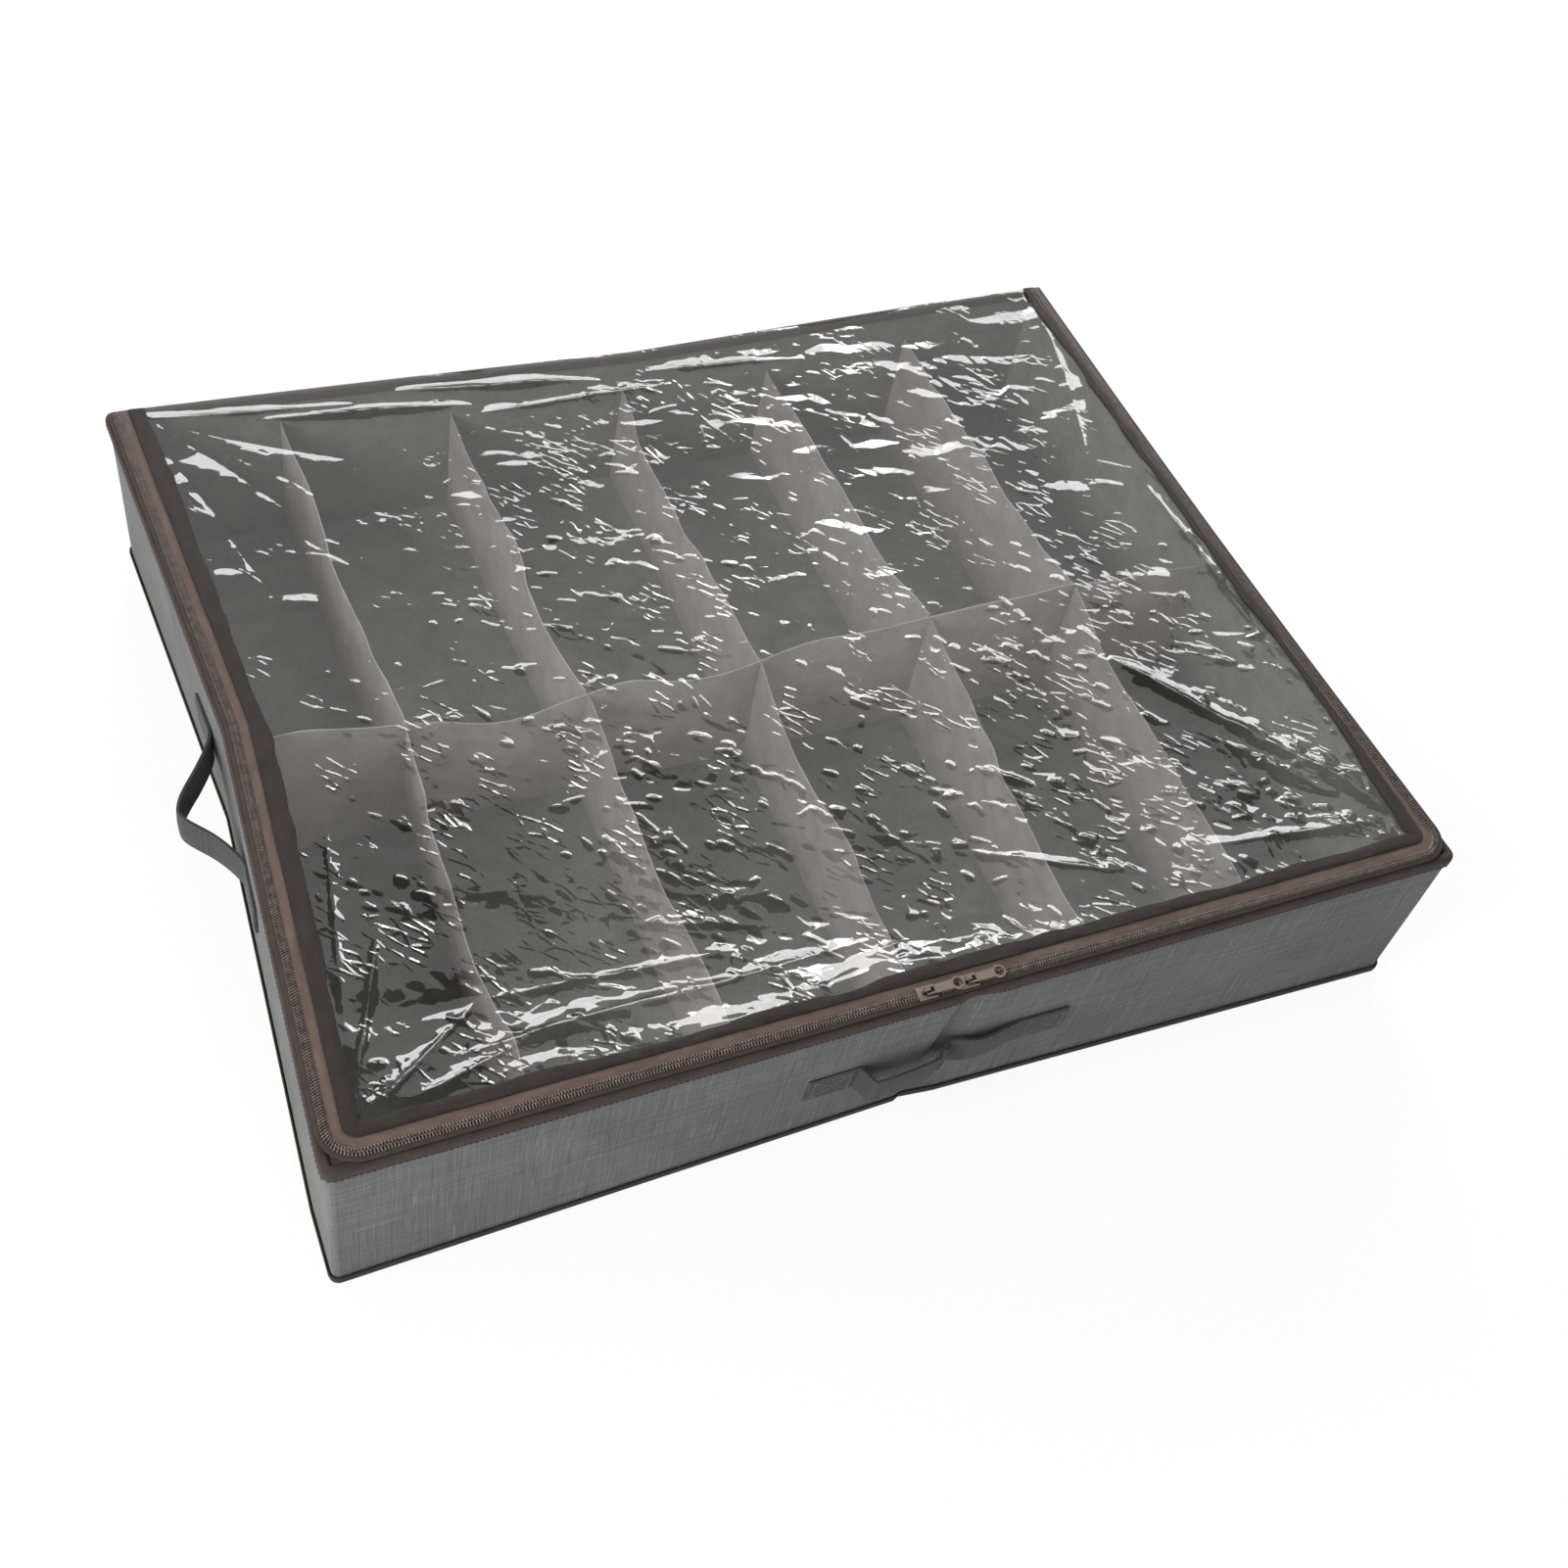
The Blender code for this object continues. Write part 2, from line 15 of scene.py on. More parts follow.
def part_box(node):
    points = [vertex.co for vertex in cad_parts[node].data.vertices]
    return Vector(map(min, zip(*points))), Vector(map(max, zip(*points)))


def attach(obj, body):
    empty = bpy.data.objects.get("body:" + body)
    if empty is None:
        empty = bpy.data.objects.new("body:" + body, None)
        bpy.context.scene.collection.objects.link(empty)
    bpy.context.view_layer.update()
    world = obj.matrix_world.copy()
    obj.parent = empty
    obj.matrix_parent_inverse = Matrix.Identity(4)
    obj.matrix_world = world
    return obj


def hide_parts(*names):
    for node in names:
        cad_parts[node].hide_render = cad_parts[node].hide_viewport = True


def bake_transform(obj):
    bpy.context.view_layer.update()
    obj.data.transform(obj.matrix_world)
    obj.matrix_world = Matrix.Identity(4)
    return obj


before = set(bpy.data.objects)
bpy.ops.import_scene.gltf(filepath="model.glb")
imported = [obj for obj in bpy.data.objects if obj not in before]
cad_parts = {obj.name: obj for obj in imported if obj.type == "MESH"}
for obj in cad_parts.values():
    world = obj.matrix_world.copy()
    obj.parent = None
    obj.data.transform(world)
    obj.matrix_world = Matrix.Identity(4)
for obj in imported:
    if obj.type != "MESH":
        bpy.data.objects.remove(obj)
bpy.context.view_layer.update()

# The frame's sizes
HALF_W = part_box("base_binding_front")[1].x
HALF_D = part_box("base_binding_back")[1].y
RIM_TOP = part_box("rim_binding_front")[1].z
WALL_LOW, WALL_TOP = (corner.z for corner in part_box("front_panel"))
TAPE_Z = sum(corner.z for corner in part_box("upper_zip_tape")) / 2
FLOOR_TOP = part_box("base_lining")[1].z
ZIP_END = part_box("lid_film")[1].y
FILM_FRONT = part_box("lid_film")[0].y
FILM_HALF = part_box("lid_film")[1].x
LINING_FACE = HALF_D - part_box("back_lining")[0].y
SLIDER_Y = sum(corner.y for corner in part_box("slider_left")) / 2
ZIP_LINE = HALF_D + SLIDER_Y

# Stance: the front folds in at the foot of its crease, the back rim leans in, the left wall folds in.
# The crease is steep on its left and shallow on its right, and its foot keeps a share of its depth.
FOLD_TOP, FOLD_FOOT = 0.011, -0.005
FRONT_FOLD = 0.010
FOLD_POWER = 1.2
CREASE_DEPTH, CREASE_LEFT, CREASE_RIGHT = 0.0052, 0.0026, 0.024
CREASE_FOOT, CREASE_FOOT_END = 0.35, 0.45
CREASE_RIM_FADE = 8
BACK_LEAN = 0.008
BACK_SAG = 0.003
LEFT_FOLD, RIGHT_BOW = 0.0155, 0.004
LEFT_FOLD_TOP, LEFT_FOLD_FOOT, LEFT_FOLD_REACH = 0.003, 0.038, 0.29
WARP_FULL = 0.014
WARP_REACH = 0.100

# Cloth thicknesses, tape widths and sewing
CLOTH = 0.0008
TAPE = 0.0006
DIVIDER_THICK = 0.0009
STRAP_THICK = 0.0018
RIM_LEG = 0.0085
BASE_LEG = 0.0072
CORNER_RADIUS = 0.006
BOARD_INSET = 0.009
ZIP_CORNER = 0.024
SHARP = 0.001
SEAM_LAP = 0.002
CLEAR = 0.0003
STITCH_PITCH = 0.0034
STITCH_LENGTH = 0.0022
TOOTH_PITCH = 0.0018
TUCK = 0.55
SLIDER_EDGE = 0.0003
FRONT_NARROW = 0.0030

# Mesh spacing, finer on the front for its crease, the noise's grid and the angle of a sharp edge
SPACING, FRONT_SPACING, BINDING_SPACING = 0.005, 0.002, 0.004
NOISE_CELLS = 256
SHARP_ANGLE = math.radians(50)

# The film: its index, how its two faces add up, the most that it mirrors, and the turn of its crinkles
FILM_INDEX = 1.46
FILM_FACES = 1.9
FILM_MIRROR = 0.085
CRINKLE_TURN = math.radians(-48)


# Small tools

def smooth(t):
    """From 0 to 1 with level ends."""
    t = np.clip(t, 0.0, 1.0)
    return t * t * (3 - 2 * t)


def cell_corners(x, y, size, seed):
    """Random values at the corners of each point's grid cell, and its place in that cell."""
    table = np.random.default_rng(seed).uniform(-1, 1, (NOISE_CELLS, NOISE_CELLS))
    gx, gy = np.asarray(x) / size, np.asarray(y) / size
    ix, iy = np.floor(gx).astype(int), np.floor(gy).astype(int)
    near, far = ix % NOISE_CELLS, (ix + 1) % NOISE_CELLS
    low, high = iy % NOISE_CELLS, (iy + 1) % NOISE_CELLS
    return table[near, low], table[far, low], table[near, high], table[far, high], gx - ix, gy - iy


def noise2(x, y, size, seed):
    """Smooth value noise from -1 to 1 over a plane, with features of the given size."""
    a, b, c, d, fx, fy = cell_corners(x, y, size, seed)
    fx, fy = smooth(fx), smooth(fy)
    return (a * (1 - fx) + b * fx) * (1 - fy) + (c * (1 - fx) + d * fx) * fy


def crumple(x, y, size, seed):
    """Heights from -1 to 1 that make flat facets with straight creases, as on a sheet once crumpled."""
    a, b, c, d, fx, fy = cell_corners(x, y, size, seed)
    return np.where(fx >= fy, a + (b - a) * fx + (d - b) * fy, a + (d - c) * fx + (c - a) * fy)


def warp(points):
    """Carry points of the square box to the box as it stands."""
    points = np.asarray(points, float)
    flat = points.reshape(-1, 3).copy()
    x, y, z = points.reshape(-1, 3).T
    up = np.clip(z / RIM_TOP, 0, 1)

    def near(depth):
        return 1 - smooth((depth - WARP_FULL) / WARP_REACH)

    side = x - FOLD_FOOT - (FOLD_TOP - FOLD_FOOT) * up
    fold = np.clip(1 - np.abs(side) / HALF_W, 0, 1)
    reach = np.where(side < 0, CREASE_LEFT, CREASE_RIGHT)
    crease = np.clip(1 - np.abs(side) / reach, 0, 1) * smooth(CREASE_RIM_FADE * (1 - up)) * CREASE_DEPTH
    crease *= CREASE_FOOT + (1 - CREASE_FOOT) * smooth(up / CREASE_FOOT_END)
    flat[:, 1] += (FRONT_FOLD * fold * (1 - up) ** FOLD_POWER + crease) * near(y + HALF_D)
    flat[:, 1] -= BACK_LEAN * fold ** FOLD_POWER * up * near(HALF_D - y)
    flat[:, 2] -= BACK_SAG * fold ** FOLD_POWER * up * near(HALF_D - y)
    bow = np.clip(np.cos(0.5 * math.pi * y / HALF_D), 0, 1)
    from_fold = np.abs(y - LEFT_FOLD_FOOT - (LEFT_FOLD_TOP - LEFT_FOLD_FOOT) * up)
    flat[:, 0] += LEFT_FOLD * np.clip(1 - from_fold / LEFT_FOLD_REACH, 0, 1) * near(x + HALF_W)
    flat[:, 0] -= RIGHT_BOW * bow * near(HALF_W - x)
    return flat.reshape(points.shape)


def new_object(name, points, faces, finish, flat=None):
    mesh = bpy.data.meshes.new(name)
    mesh.from_pydata(points.tolist(), [], faces)
    mesh.validate()
    if flat is not None:
        attribute = mesh.attributes.new("flat_m", "FLOAT_VECTOR", "POINT")
        attribute.data.foreach_set("vector", np.asarray(flat, np.float32).ravel())
    mesh.materials.append(finish)
    mesh.shade_smooth()
    mesh.set_sharp_from_angle(angle=SHARP_ANGLE)
    piece = bpy.data.objects.new(name, mesh)
    bpy.context.scene.collection.objects.link(piece)
    return piece


def grid_faces(rows, cols, start=0, flip=False):
    i, j = np.meshgrid(np.arange(rows - 1), np.arange(cols - 1), indexing="ij")
    a = (start + i * cols + j).ravel()
    quads = np.stack([a, a + cols, a + cols + 1, a + 1], axis=1)
    return (quads[:, ::-1] if flip else quads).tolist()


def lengths(points):
    """How far along a line of points each one lies."""
    steps = np.linalg.norm(np.diff(points, axis=0), axis=1)
    return np.concatenate([[0.0], np.cumsum(steps)])


def read_line(at, run, line):
    """The point or direction at one length along a line."""
    return np.array([np.interp(at, run, column) for column in line.T])


def shell(name, grid, thickness, finish):
    """A sheet on a grid of points, closed with its thickness about the grid, or single if it has none.

    Its flat_m attribute holds each point's place on the flat sheet, in metres, for the weave.
    """
    rows, cols = grid.shape[:2]
    along = lengths(grid[:, cols // 2])
    across = lengths(grid[rows // 2])
    flat = np.stack([*np.meshgrid(along, across, indexing="ij"), np.zeros((rows, cols))], axis=-1)
    if not thickness:
        return new_object(name, grid.reshape(-1, 3), grid_faces(rows, cols), finish, flat.reshape(-1, 3))
    normal = np.cross(np.gradient(grid, axis=0), np.gradient(grid, axis=1))
    normal /= np.linalg.norm(normal, axis=2, keepdims=True) + 1e-12
    count = rows * cols
    points = np.concatenate([(grid + normal * thickness / 2).reshape(-1, 3),
                             (grid - normal * thickness / 2).reshape(-1, 3)])
    faces = grid_faces(rows, cols) + grid_faces(rows, cols, count, flip=True)
    index = np.arange(count).reshape(rows, cols)
    edges = [index[0, :], index[::-1, 0], index[:, -1], index[-1, ::-1]]
    for line in edges:
        for a, b in zip(line[:-1], line[1:]):
            faces.append([int(a), int(b), int(b + count), int(a + count)])
    return new_object(name, points, faces, finish, np.concatenate([flat.reshape(-1, 3)] * 2))


def bar_faces(start, rings, size):
    """Faces of a closed bar from rings of points that follow each other from one index."""
    faces = []
    for first in range(start, start + (rings - 1) * size, size):
        for k in range(size):
            a, b = first + k, first + (k + 1) % size
            faces.append([a, b, b + size, a + size])
    faces.append([start + k for k in range(size - 1, -1, -1)])
    faces.append([start + (rings - 1) * size + k for k in range(size)])
    return faces


def stitches(name, line, outward, finish, pitch=STITCH_PITCH, length=STITCH_LENGTH, width=0.0008):
    """A row of raised thread dashes along a line of points, each a low hexagonal bead."""
    line, outward = np.asarray(line, float), np.asarray(outward, float)
    run = lengths(line)
    bead = ((-0.5, 0.35), (-0.28, 1.0), (0.28, 1.0), (0.5, 0.35))
    points, faces = [], []
    for at in np.arange(pitch / 2, run[-1], pitch):
        middle = read_line(at, run, line)
        ahead = read_line(min(at + 1e-4, run[-1]), run, line)
        out = read_line(at, run, outward)
        along = (ahead - middle) / (np.linalg.norm(ahead - middle) + 1e-12)
        across = np.cross(out, along)
        start = len(points)
        for step, share in bead:
            for k in range(6):
                turn = math.tau * k / 6
                ring = (across * math.cos(turn) + out * 0.8 * math.sin(turn)) * width / 2 * share
                points.append(middle + along * length * step + ring)
        faces += bar_faces(start, len(bead), 6)
    return new_object(name, np.array(points), faces, finish)


def keep(piece, body, slot, *nodes):
    """Fasten a piece to its body and hide the nodes that it stands for. Its slot is not used."""
    if body:
        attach(piece, body)
    if nodes:
        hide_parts(*nodes)
    return piece


def hinge_with_lid(piece):
    """Lid pieces are sewn to the rim at the back; here a piece's place is only baked into its mesh."""
    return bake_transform(piece)


# Materials

class Graph:
    """The node tree of a new material, or of a world, built one node at a time."""

    def __init__(self, name, world=None):
        self.material = world or bpy.data.materials.new(name)
        self.material.use_nodes = True
        self.tree = self.material.node_tree
        self.shader = self.tree.nodes.get("Principled BSDF")
        self.output = self.tree.nodes["World Output" if world else "Material Output"]

    def node(self, kind, settings=None, **inputs):
        made = self.tree.nodes.new("ShaderNode" + kind)
        for key, value in (settings or {}).items():
            setattr(made, key, value)
        for key, value in inputs.items():
            self.put(made, key.replace("_", " "), value)
        return made

    def put(self, node, key, value):
        socket = node.inputs[int(key)] if key.isdigit() else node.inputs[key]
        if isinstance(value, bpy.types.NodeSocket):
            self.tree.links.new(value, socket)
        else:
            socket.default_value = value

    def principled(self, **inputs):
        for key, value in inputs.items():
            self.put(self.shader, key.replace("_", " "), value)
        return self.material

    def math(self, operation, a, b, kind="Math"):
        made = self.node(kind, {"operation": operation})
        self.put(made, "0", a)
        self.put(made, "1", b)
        return made.outputs[0]

    def move(self, place, offset):
        return self.math("ADD", place, offset, "VectorMath")

    def blend(self, first, a, second, b):
        """Two values, each times its weight, added up."""
        return self.math("ADD", self.math("MULTIPLY", first, a), self.math("MULTIPLY", second, b))

    def shaders(self, share, first, second):
        both = self.node("MixShader", Fac=share)
        self.put(both, "1", first.outputs[0])
        self.put(both, "2", second.outputs[0])
        return both

    def surface(self, shader):
        self.put(self.output, "Surface", shader.outputs[0])

    def seen(self, path):
        """Whether the camera sees by a ray, straight or through the film."""
        return self.math("MAXIMUM", path.outputs["Is Camera Ray"], path.outputs["Is Transmission Ray"])

    def flat(self, scale):
        place = self.node("Attribute", {"attribute_name": "flat_m"})
        return self.node("Mapping", Vector=place.outputs["Vector"], Scale=scale).outputs[0]

    def object(self, scale):
        place = self.node("TexCoord").outputs["Object"]
        return self.node("Mapping", Vector=place, Scale=scale).outputs[0]

    def across(self, scale):
        """The piece's x and y, each times its scale, added up."""
        made = self.node("SeparateXYZ", Vector=self.object(scale))
        return self.math("ADD", made.outputs["X"], made.outputs["Y"])

    def fade(self, value, start, end, first=0.0, last=1.0):
        made = self.node("MapRange", Value=value, From_Min=start, From_Max=end, To_Min=first, To_Max=last)
        return made.outputs["Result"]

    def noise(self, vector, scale=1.0, detail=2.0, rough=0.5):
        made = self.node("TexNoise", Vector=vector, Scale=scale, Detail=detail, Roughness=rough)
        return made.outputs["Fac"]

    def bands(self, direction, scale, distortion):
        made = self.node("TexWave", {"bands_direction": direction}, Vector=self.flat((1, 1, 1)),
                         Scale=scale, Distortion=distortion)
        return made.outputs["Fac"]

    def ramp(self, value, stops):
        made = self.node("ValToRGB", Fac=value)
        ramp = made.color_ramp
        while len(ramp.elements) < len(stops):
            ramp.elements.new(0.5)
        for element, (at, colour) in zip(ramp.elements, stops):
            element.position = at
            element.color = (*colour, 1.0)
        return made.outputs["Color"]

    def mix(self, share, a, b):
        made = self.node("Mix", {"data_type": "RGBA"})
        self.put(made, "0", share)
        self.put(made, "6", a)
        self.put(made, "7", b)
        return made.outputs[2]

    def bump(self, height, distance, strength=1.0):
        made = self.node("Bump", Height=height, Distance=distance, Strength=strength)
        return made.outputs["Normal"]


def srgb(red, green, blue):
    def linear(c):
        c /= 255
        return c / 12.92 if c <= 0.04045 else ((c + 0.055) / 1.055) ** 2.4
    return (linear(red), linear(green), linear(blue))


def linen(name, dark, mid, light):
    """Linen-look cloth: slubby threads both ways, of unlike greys, over a fine plain weave."""
    g = Graph(name)
    upright = g.math("MULTIPLY", g.noise(g.flat((1100, 0, 1)), detail=0), 14.0)
    level = g.math("MULTIPLY", g.noise(g.flat((0, 1000, 1)), detail=0), 14.0)
    upright_start = g.node("CombineXYZ", Y=upright).outputs[0]
    level_start = g.node("CombineXYZ", X=level).outputs[0]
    warp_threads = g.noise(g.move(g.flat((1100, 34, 1)), upright_start), detail=3, rough=0.6)
    weft_threads = g.noise(g.move(g.flat((30, 1000, 1)), level_start), detail=3, rough=0.6)
    level_slubs = g.noise(g.move(g.flat((26, 300, 1)), level_start), detail=2, rough=0.6)
    upright_slubs = g.noise(g.move(g.flat((420, 24, 1)), upright_start), detail=2, rough=0.6)
    fine_share = g.blend(warp_threads, 0.34, weft_threads, 0.28)
    threads = g.math("ADD", fine_share, g.blend(level_slubs, 0.22, upright_slubs, 0.16))
    cloud = g.noise(g.flat((9, 9, 1)), detail=2)
    tone = g.math("ADD", threads, g.math("MULTIPLY", g.math("SUBTRACT", cloud, 0.5), 0.12))
    colour = g.ramp(tone, [(0.40, dark), (0.5, mid), (0.60, light)])
    weave = g.math("MULTIPLY", g.bands("X", 420.0, 1.2), g.bands("Y", 420.0, 1.2))
    height = g.math("ADD", g.math("MULTIPLY", weave, 0.4), threads)
    return g.principled(Base_Color=colour, Roughness=0.92, Specular_IOR_Level=0.25, Sheen_Weight=0.15,
                        Normal=g.bump(height, 0.0006, 0.7))


def unwoven(name, dark, light, translucent=0.0):
    """Pressed unwoven cloth: cloudy fibres and a grid of small pressed dots."""
    g = Graph(name)
    cloud = g.noise(g.flat((38, 38, 1)), detail=5, rough=0.65)
    fibre = g.noise(g.flat((900, 240, 1)), detail=2)
    tone = g.blend(cloud, 0.7, fibre, 0.3)
    colour = g.ramp(tone, [(0.36, dark), (0.64, light)])
    dots = g.node("TexVoronoi", Vector=g.flat((1, 1, 1)), Scale=900.0, Randomness=0.15)
    dot = g.math("LESS_THAN", dots.outputs["Distance"], 0.26)
    height = g.math("SUBTRACT", g.math("MULTIPLY", fibre, 0.5), g.math("MULTIPLY", dot, 0.5))
    material = g.principled(Base_Color=colour, Roughness=0.95, Specular_IOR_Level=0.15,
                            Normal=g.bump(height, 0.0005, 0.6))
    if translucent:
        g.surface(g.shaders(translucent, g.shader, g.node("BsdfTranslucent", Color=colour)))
    return material


def woven_tape(name, dark, light, rib=700.0):
    """Narrow woven tape: fine ribs along it and across it, a little worn."""
    g = Graph(name)
    ribs = g.bands("X", rib, 0.8)
    rows = g.bands("Y", rib * 0.6, 0.8)
    wear = g.noise(g.flat((60, 160, 1)), detail=4, rough=0.6)
    tone = g.blend(ribs, 0.25, wear, 0.75)
    height = g.math("ADD", ribs, rows)
    return g.principled(Base_Color=g.ramp(tone, [(0.3, dark), (0.75, light)]), Roughness=0.82,
                        Specular_IOR_Level=0.3, Sheen_Weight=0.05, Normal=g.bump(height, 0.0003, 0.5))


def clear_film():
    """Thin clear vinyl: seen through, with a sharp reflection, the same from above and from below."""
    g = Graph("clear_film")
    fine = g.noise(g.object((1, 1, 1)), scale=160.0, detail=3, rough=0.55)
    ripple = g.noise(g.object((0.6, 1.3, 1)), scale=48.0, detail=2, rough=0.5)
    height = g.math("ADD", g.math("MULTIPLY", fine, 0.35), ripple)
    slanted = g.node("Mapping", {"vector_type": "TEXTURE"}, Vector=g.object((1, 1, 1)),
                     Rotation=(0, 0, CRINKLE_TURN), Scale=(0.015, 0.0065, 1.0))
    cells = g.node("TexVoronoi", {"voronoi_dimensions": "2D", "feature": "DISTANCE_TO_EDGE"},
                   Vector=slanted.outputs[0], Scale=1.0)
    from_edge = g.math("MINIMUM", g.math("DIVIDE", cells.outputs["Distance"], 0.20), 1.0)
    crease = g.math("SUBTRACT", 1.0, from_edge)
    patches = g.noise(g.object((1, 1, 1)), scale=34.0, detail=2, rough=0.5)
    crease = g.math("MULTIPLY", crease, g.fade(patches, 0.50, 0.76))
    rear_right = g.fade(g.across((0.5, 1.0, 1.0)), -0.20, 0.30, 1.4, 0.35)
    rear_left = g.fade(g.across((-1.0, 0.7, 1.0)), 0.20, 0.38, 1.0, 0.15)
    crease = g.math("MULTIPLY", crease, g.math("MULTIPLY", rear_right, rear_left))
    normal = g.bump(g.blend(height, 0.12, crease, 0.46), 0.0010)
    gloss = g.node("BsdfGlossy", Color=(1, 1, 1, 1), Roughness=0.035, Normal=normal)
    haze = g.noise(g.object((1, 1, 1)), scale=22.0, detail=4)
    tint = g.ramp(haze, [(0.3, (0.84, 0.845, 0.845)), (0.7, (0.93, 0.93, 0.93))])
    clear = g.node("BsdfTransparent", Color=tint)
    behind = g.node("NewGeometry").outputs["Backfacing"]
    index = g.math("SUBTRACT", FILM_INDEX, g.math("MULTIPLY", behind, FILM_INDEX - 1 / FILM_INDEX))
    facing = g.node("Fresnel", IOR=index, Normal=normal)
    share = g.math("MINIMUM", g.math("MULTIPLY", facing.outputs[0], FILM_FACES), FILM_MIRROR)
    g.surface(g.shaders(share, clear, gloss))
    g.tree.nodes.remove(g.shader)
    return g.material


def painted_metal():
    """Satin taupe paint on a cast slider, with a painted highlight: lighter along its sharp edges."""
    g = Graph("painted_metal")
    speckle = g.noise(g.object((1, 1, 1)), scale=900.0, detail=3)
    edge = g.node("NewGeometry").outputs["Pointiness"]
    # Painted highlight: sharp convex edges are mixed halfway towards a light taupe.
    painted_edge_highlight = g.math("GREATER_THAN", edge, 0.56)
    paint = g.ramp(speckle, [(0.3, srgb(56, 48, 43)), (0.7, srgb(76, 66, 60))])
    colour = g.mix(g.math("MULTIPLY", painted_edge_highlight, 0.5), paint, (*srgb(168, 154, 142), 1.0))
    return g.principled(Base_Color=colour, Roughness=0.32, Metallic=0.7,
                        Normal=g.bump(speckle, 0.00005, 0.4))


def speckled(name, scale, detail, stops, roughness, bump):
    """A plain finish with small specks in colour and surface."""
    g = Graph(name)
    specks = g.noise(g.object((1, 1, 1)), scale=scale, detail=detail)
    return g.principled(Base_Color=g.ramp(specks, stops), Roughness=roughness, Normal=g.bump(specks, *bump))


def thread(name, dark, light):
    return speckled(name, 1200.0, 2, [(0.3, dark), (0.7, light)], 0.75, (0.0001, 0.5))


LINEN = linen("linen_fabric", srgb(67, 67, 67), srgb(99, 99, 99), srgb(138, 138, 137))
STRAP = linen("strap_cloth", srgb(42, 42, 43), srgb(64, 64, 65), srgb(92, 92, 92))
LINING = unwoven("lining_cloth", srgb(110, 110, 109), srgb(133, 133, 131))
DIVIDER = unwoven("divider_cloth", srgb(172, 170, 164), srgb(196, 194, 188), translucent=0.45)
RIM_TAPE = woven_tape("rim_tape", srgb(52, 43, 39), srgb(76, 64, 58))
DARK_TAPE = woven_tape("dark_tape", srgb(34, 28, 25), srgb(56, 47, 42))
ZIP_TAPE = woven_tape("zip_tape", srgb(84, 70, 62), srgb(114, 97, 87), rib=1100.0)
COIL = speckled("coil_plastic", 220.0, 2, [(0.3, srgb(74, 63, 57)), (0.7, srgb(112, 98, 90))],
                0.33, (0.00004, 0.3))
FILM = clear_film()
METAL = painted_metal()
BOARD = speckled("pressed_board", 300.0, 4, [(0.35, srgb(136, 114, 88)), (0.65, srgb(160, 138, 108))],
                 0.95, (0.0002, 0.5))
BROWN_THREAD = thread("brown_thread", srgb(40, 33, 30), srgb(66, 56, 50))
GREY_THREAD = thread("grey_thread", srgb(84, 84, 86), srgb(118, 118, 120))


# Walls, linings, boards and bindings

SIDES = {
    "front": (0.0, HALF_W, HALF_D),
    "back": (math.pi, HALF_W, HALF_D),
    "left": (-math.pi / 2, HALF_D, HALF_W),
    "right": (math.pi / 2, HALF_D, HALF_W),
}
WALL_SEED, WALL_RIPPLE, WALL_SWAY = 20, 0.085, 0.0006
RIM_SEED, RIM_RIPPLE, RIM_SWAY = 40, 0.03, 0.0004
RIM_FINE_SEED, RIM_FINE_RIPPLE, RIM_FINE_SWAY = 50, 0.009, 0.0002


def turned(angle):
    """A turn about Z, for rows of points."""
    c, s = math.cos(angle), math.sin(angle)
    return np.array(((c, s, 0), (-s, c, 0), (0, 0, 1)))


def arc(centre, radius, angles):
    """Points round a corner and their outward directions."""
    out = np.column_stack([np.cos(angles), np.sin(angles)])
    return np.hstack([np.array(centre) + radius * out, out])


def straight(start, end, count, out):
    """Points along a straight edge and their outward direction."""
    return np.hstack([np.linspace(start, end, count), np.tile(out, (count, 1))])


def side_path(side, spacing, radius=CORNER_RADIUS):
    """Points on the outline of one wall, half way round each corner, and their outward directions."""
    turn, half, offset = SIDES[side]
    x, y = half - radius, radius - offset
    bend = np.linspace(0, math.pi / 4, 5)
    level = straight((-x, -offset), (x, -offset), int(2 * half / spacing), (0.0, -1.0))
    path = np.concatenate([arc((-x, y), radius, 1.25 * math.pi + bend), level[1:-1],
                           arc((x, y), radius, 1.5 * math.pi + bend)])
    spin = turned(turn)[:2, :2]
    return path[:, :2] @ spin, path[:, 2:] @ spin


def side_grid(side, profile, spacing=SPACING):
    """A band along one wall from a profile of depth inwards and height."""
    points, out = side_path(side, FRONT_SPACING if side == "front" else spacing)
    profile = np.asarray(profile, float)
    grid = np.zeros((len(points), len(profile), 3))
    grid[:, :, :2] = points[:, None] - out[:, None] * profile[:, :1]
    grid[:, :, 2] = profile[:, 1]
    return grid, out


def slab(name, low, high, finish):
    """A flat layer between two corners, in a grid so that it can take the box's stance."""
    low, high = np.array(low), np.array(high)
    size = high - low
    thin = int(np.argmin(size))
    wide = [axis for axis in range(3) if axis != thin]
    lines = [np.linspace(low[a], high[a], max(4, int(size[a] / SPACING))) for a in wide]
    grid = np.zeros((len(lines[0]), len(lines[1]), 3))
    grid[:, :, wide[0]], grid[:, :, wide[1]] = np.meshgrid(*lines, indexing="ij")
    grid[:, :, thin] = (low[thin] + high[thin]) / 2
    return shell(name, warp(grid), size[thin], finish)


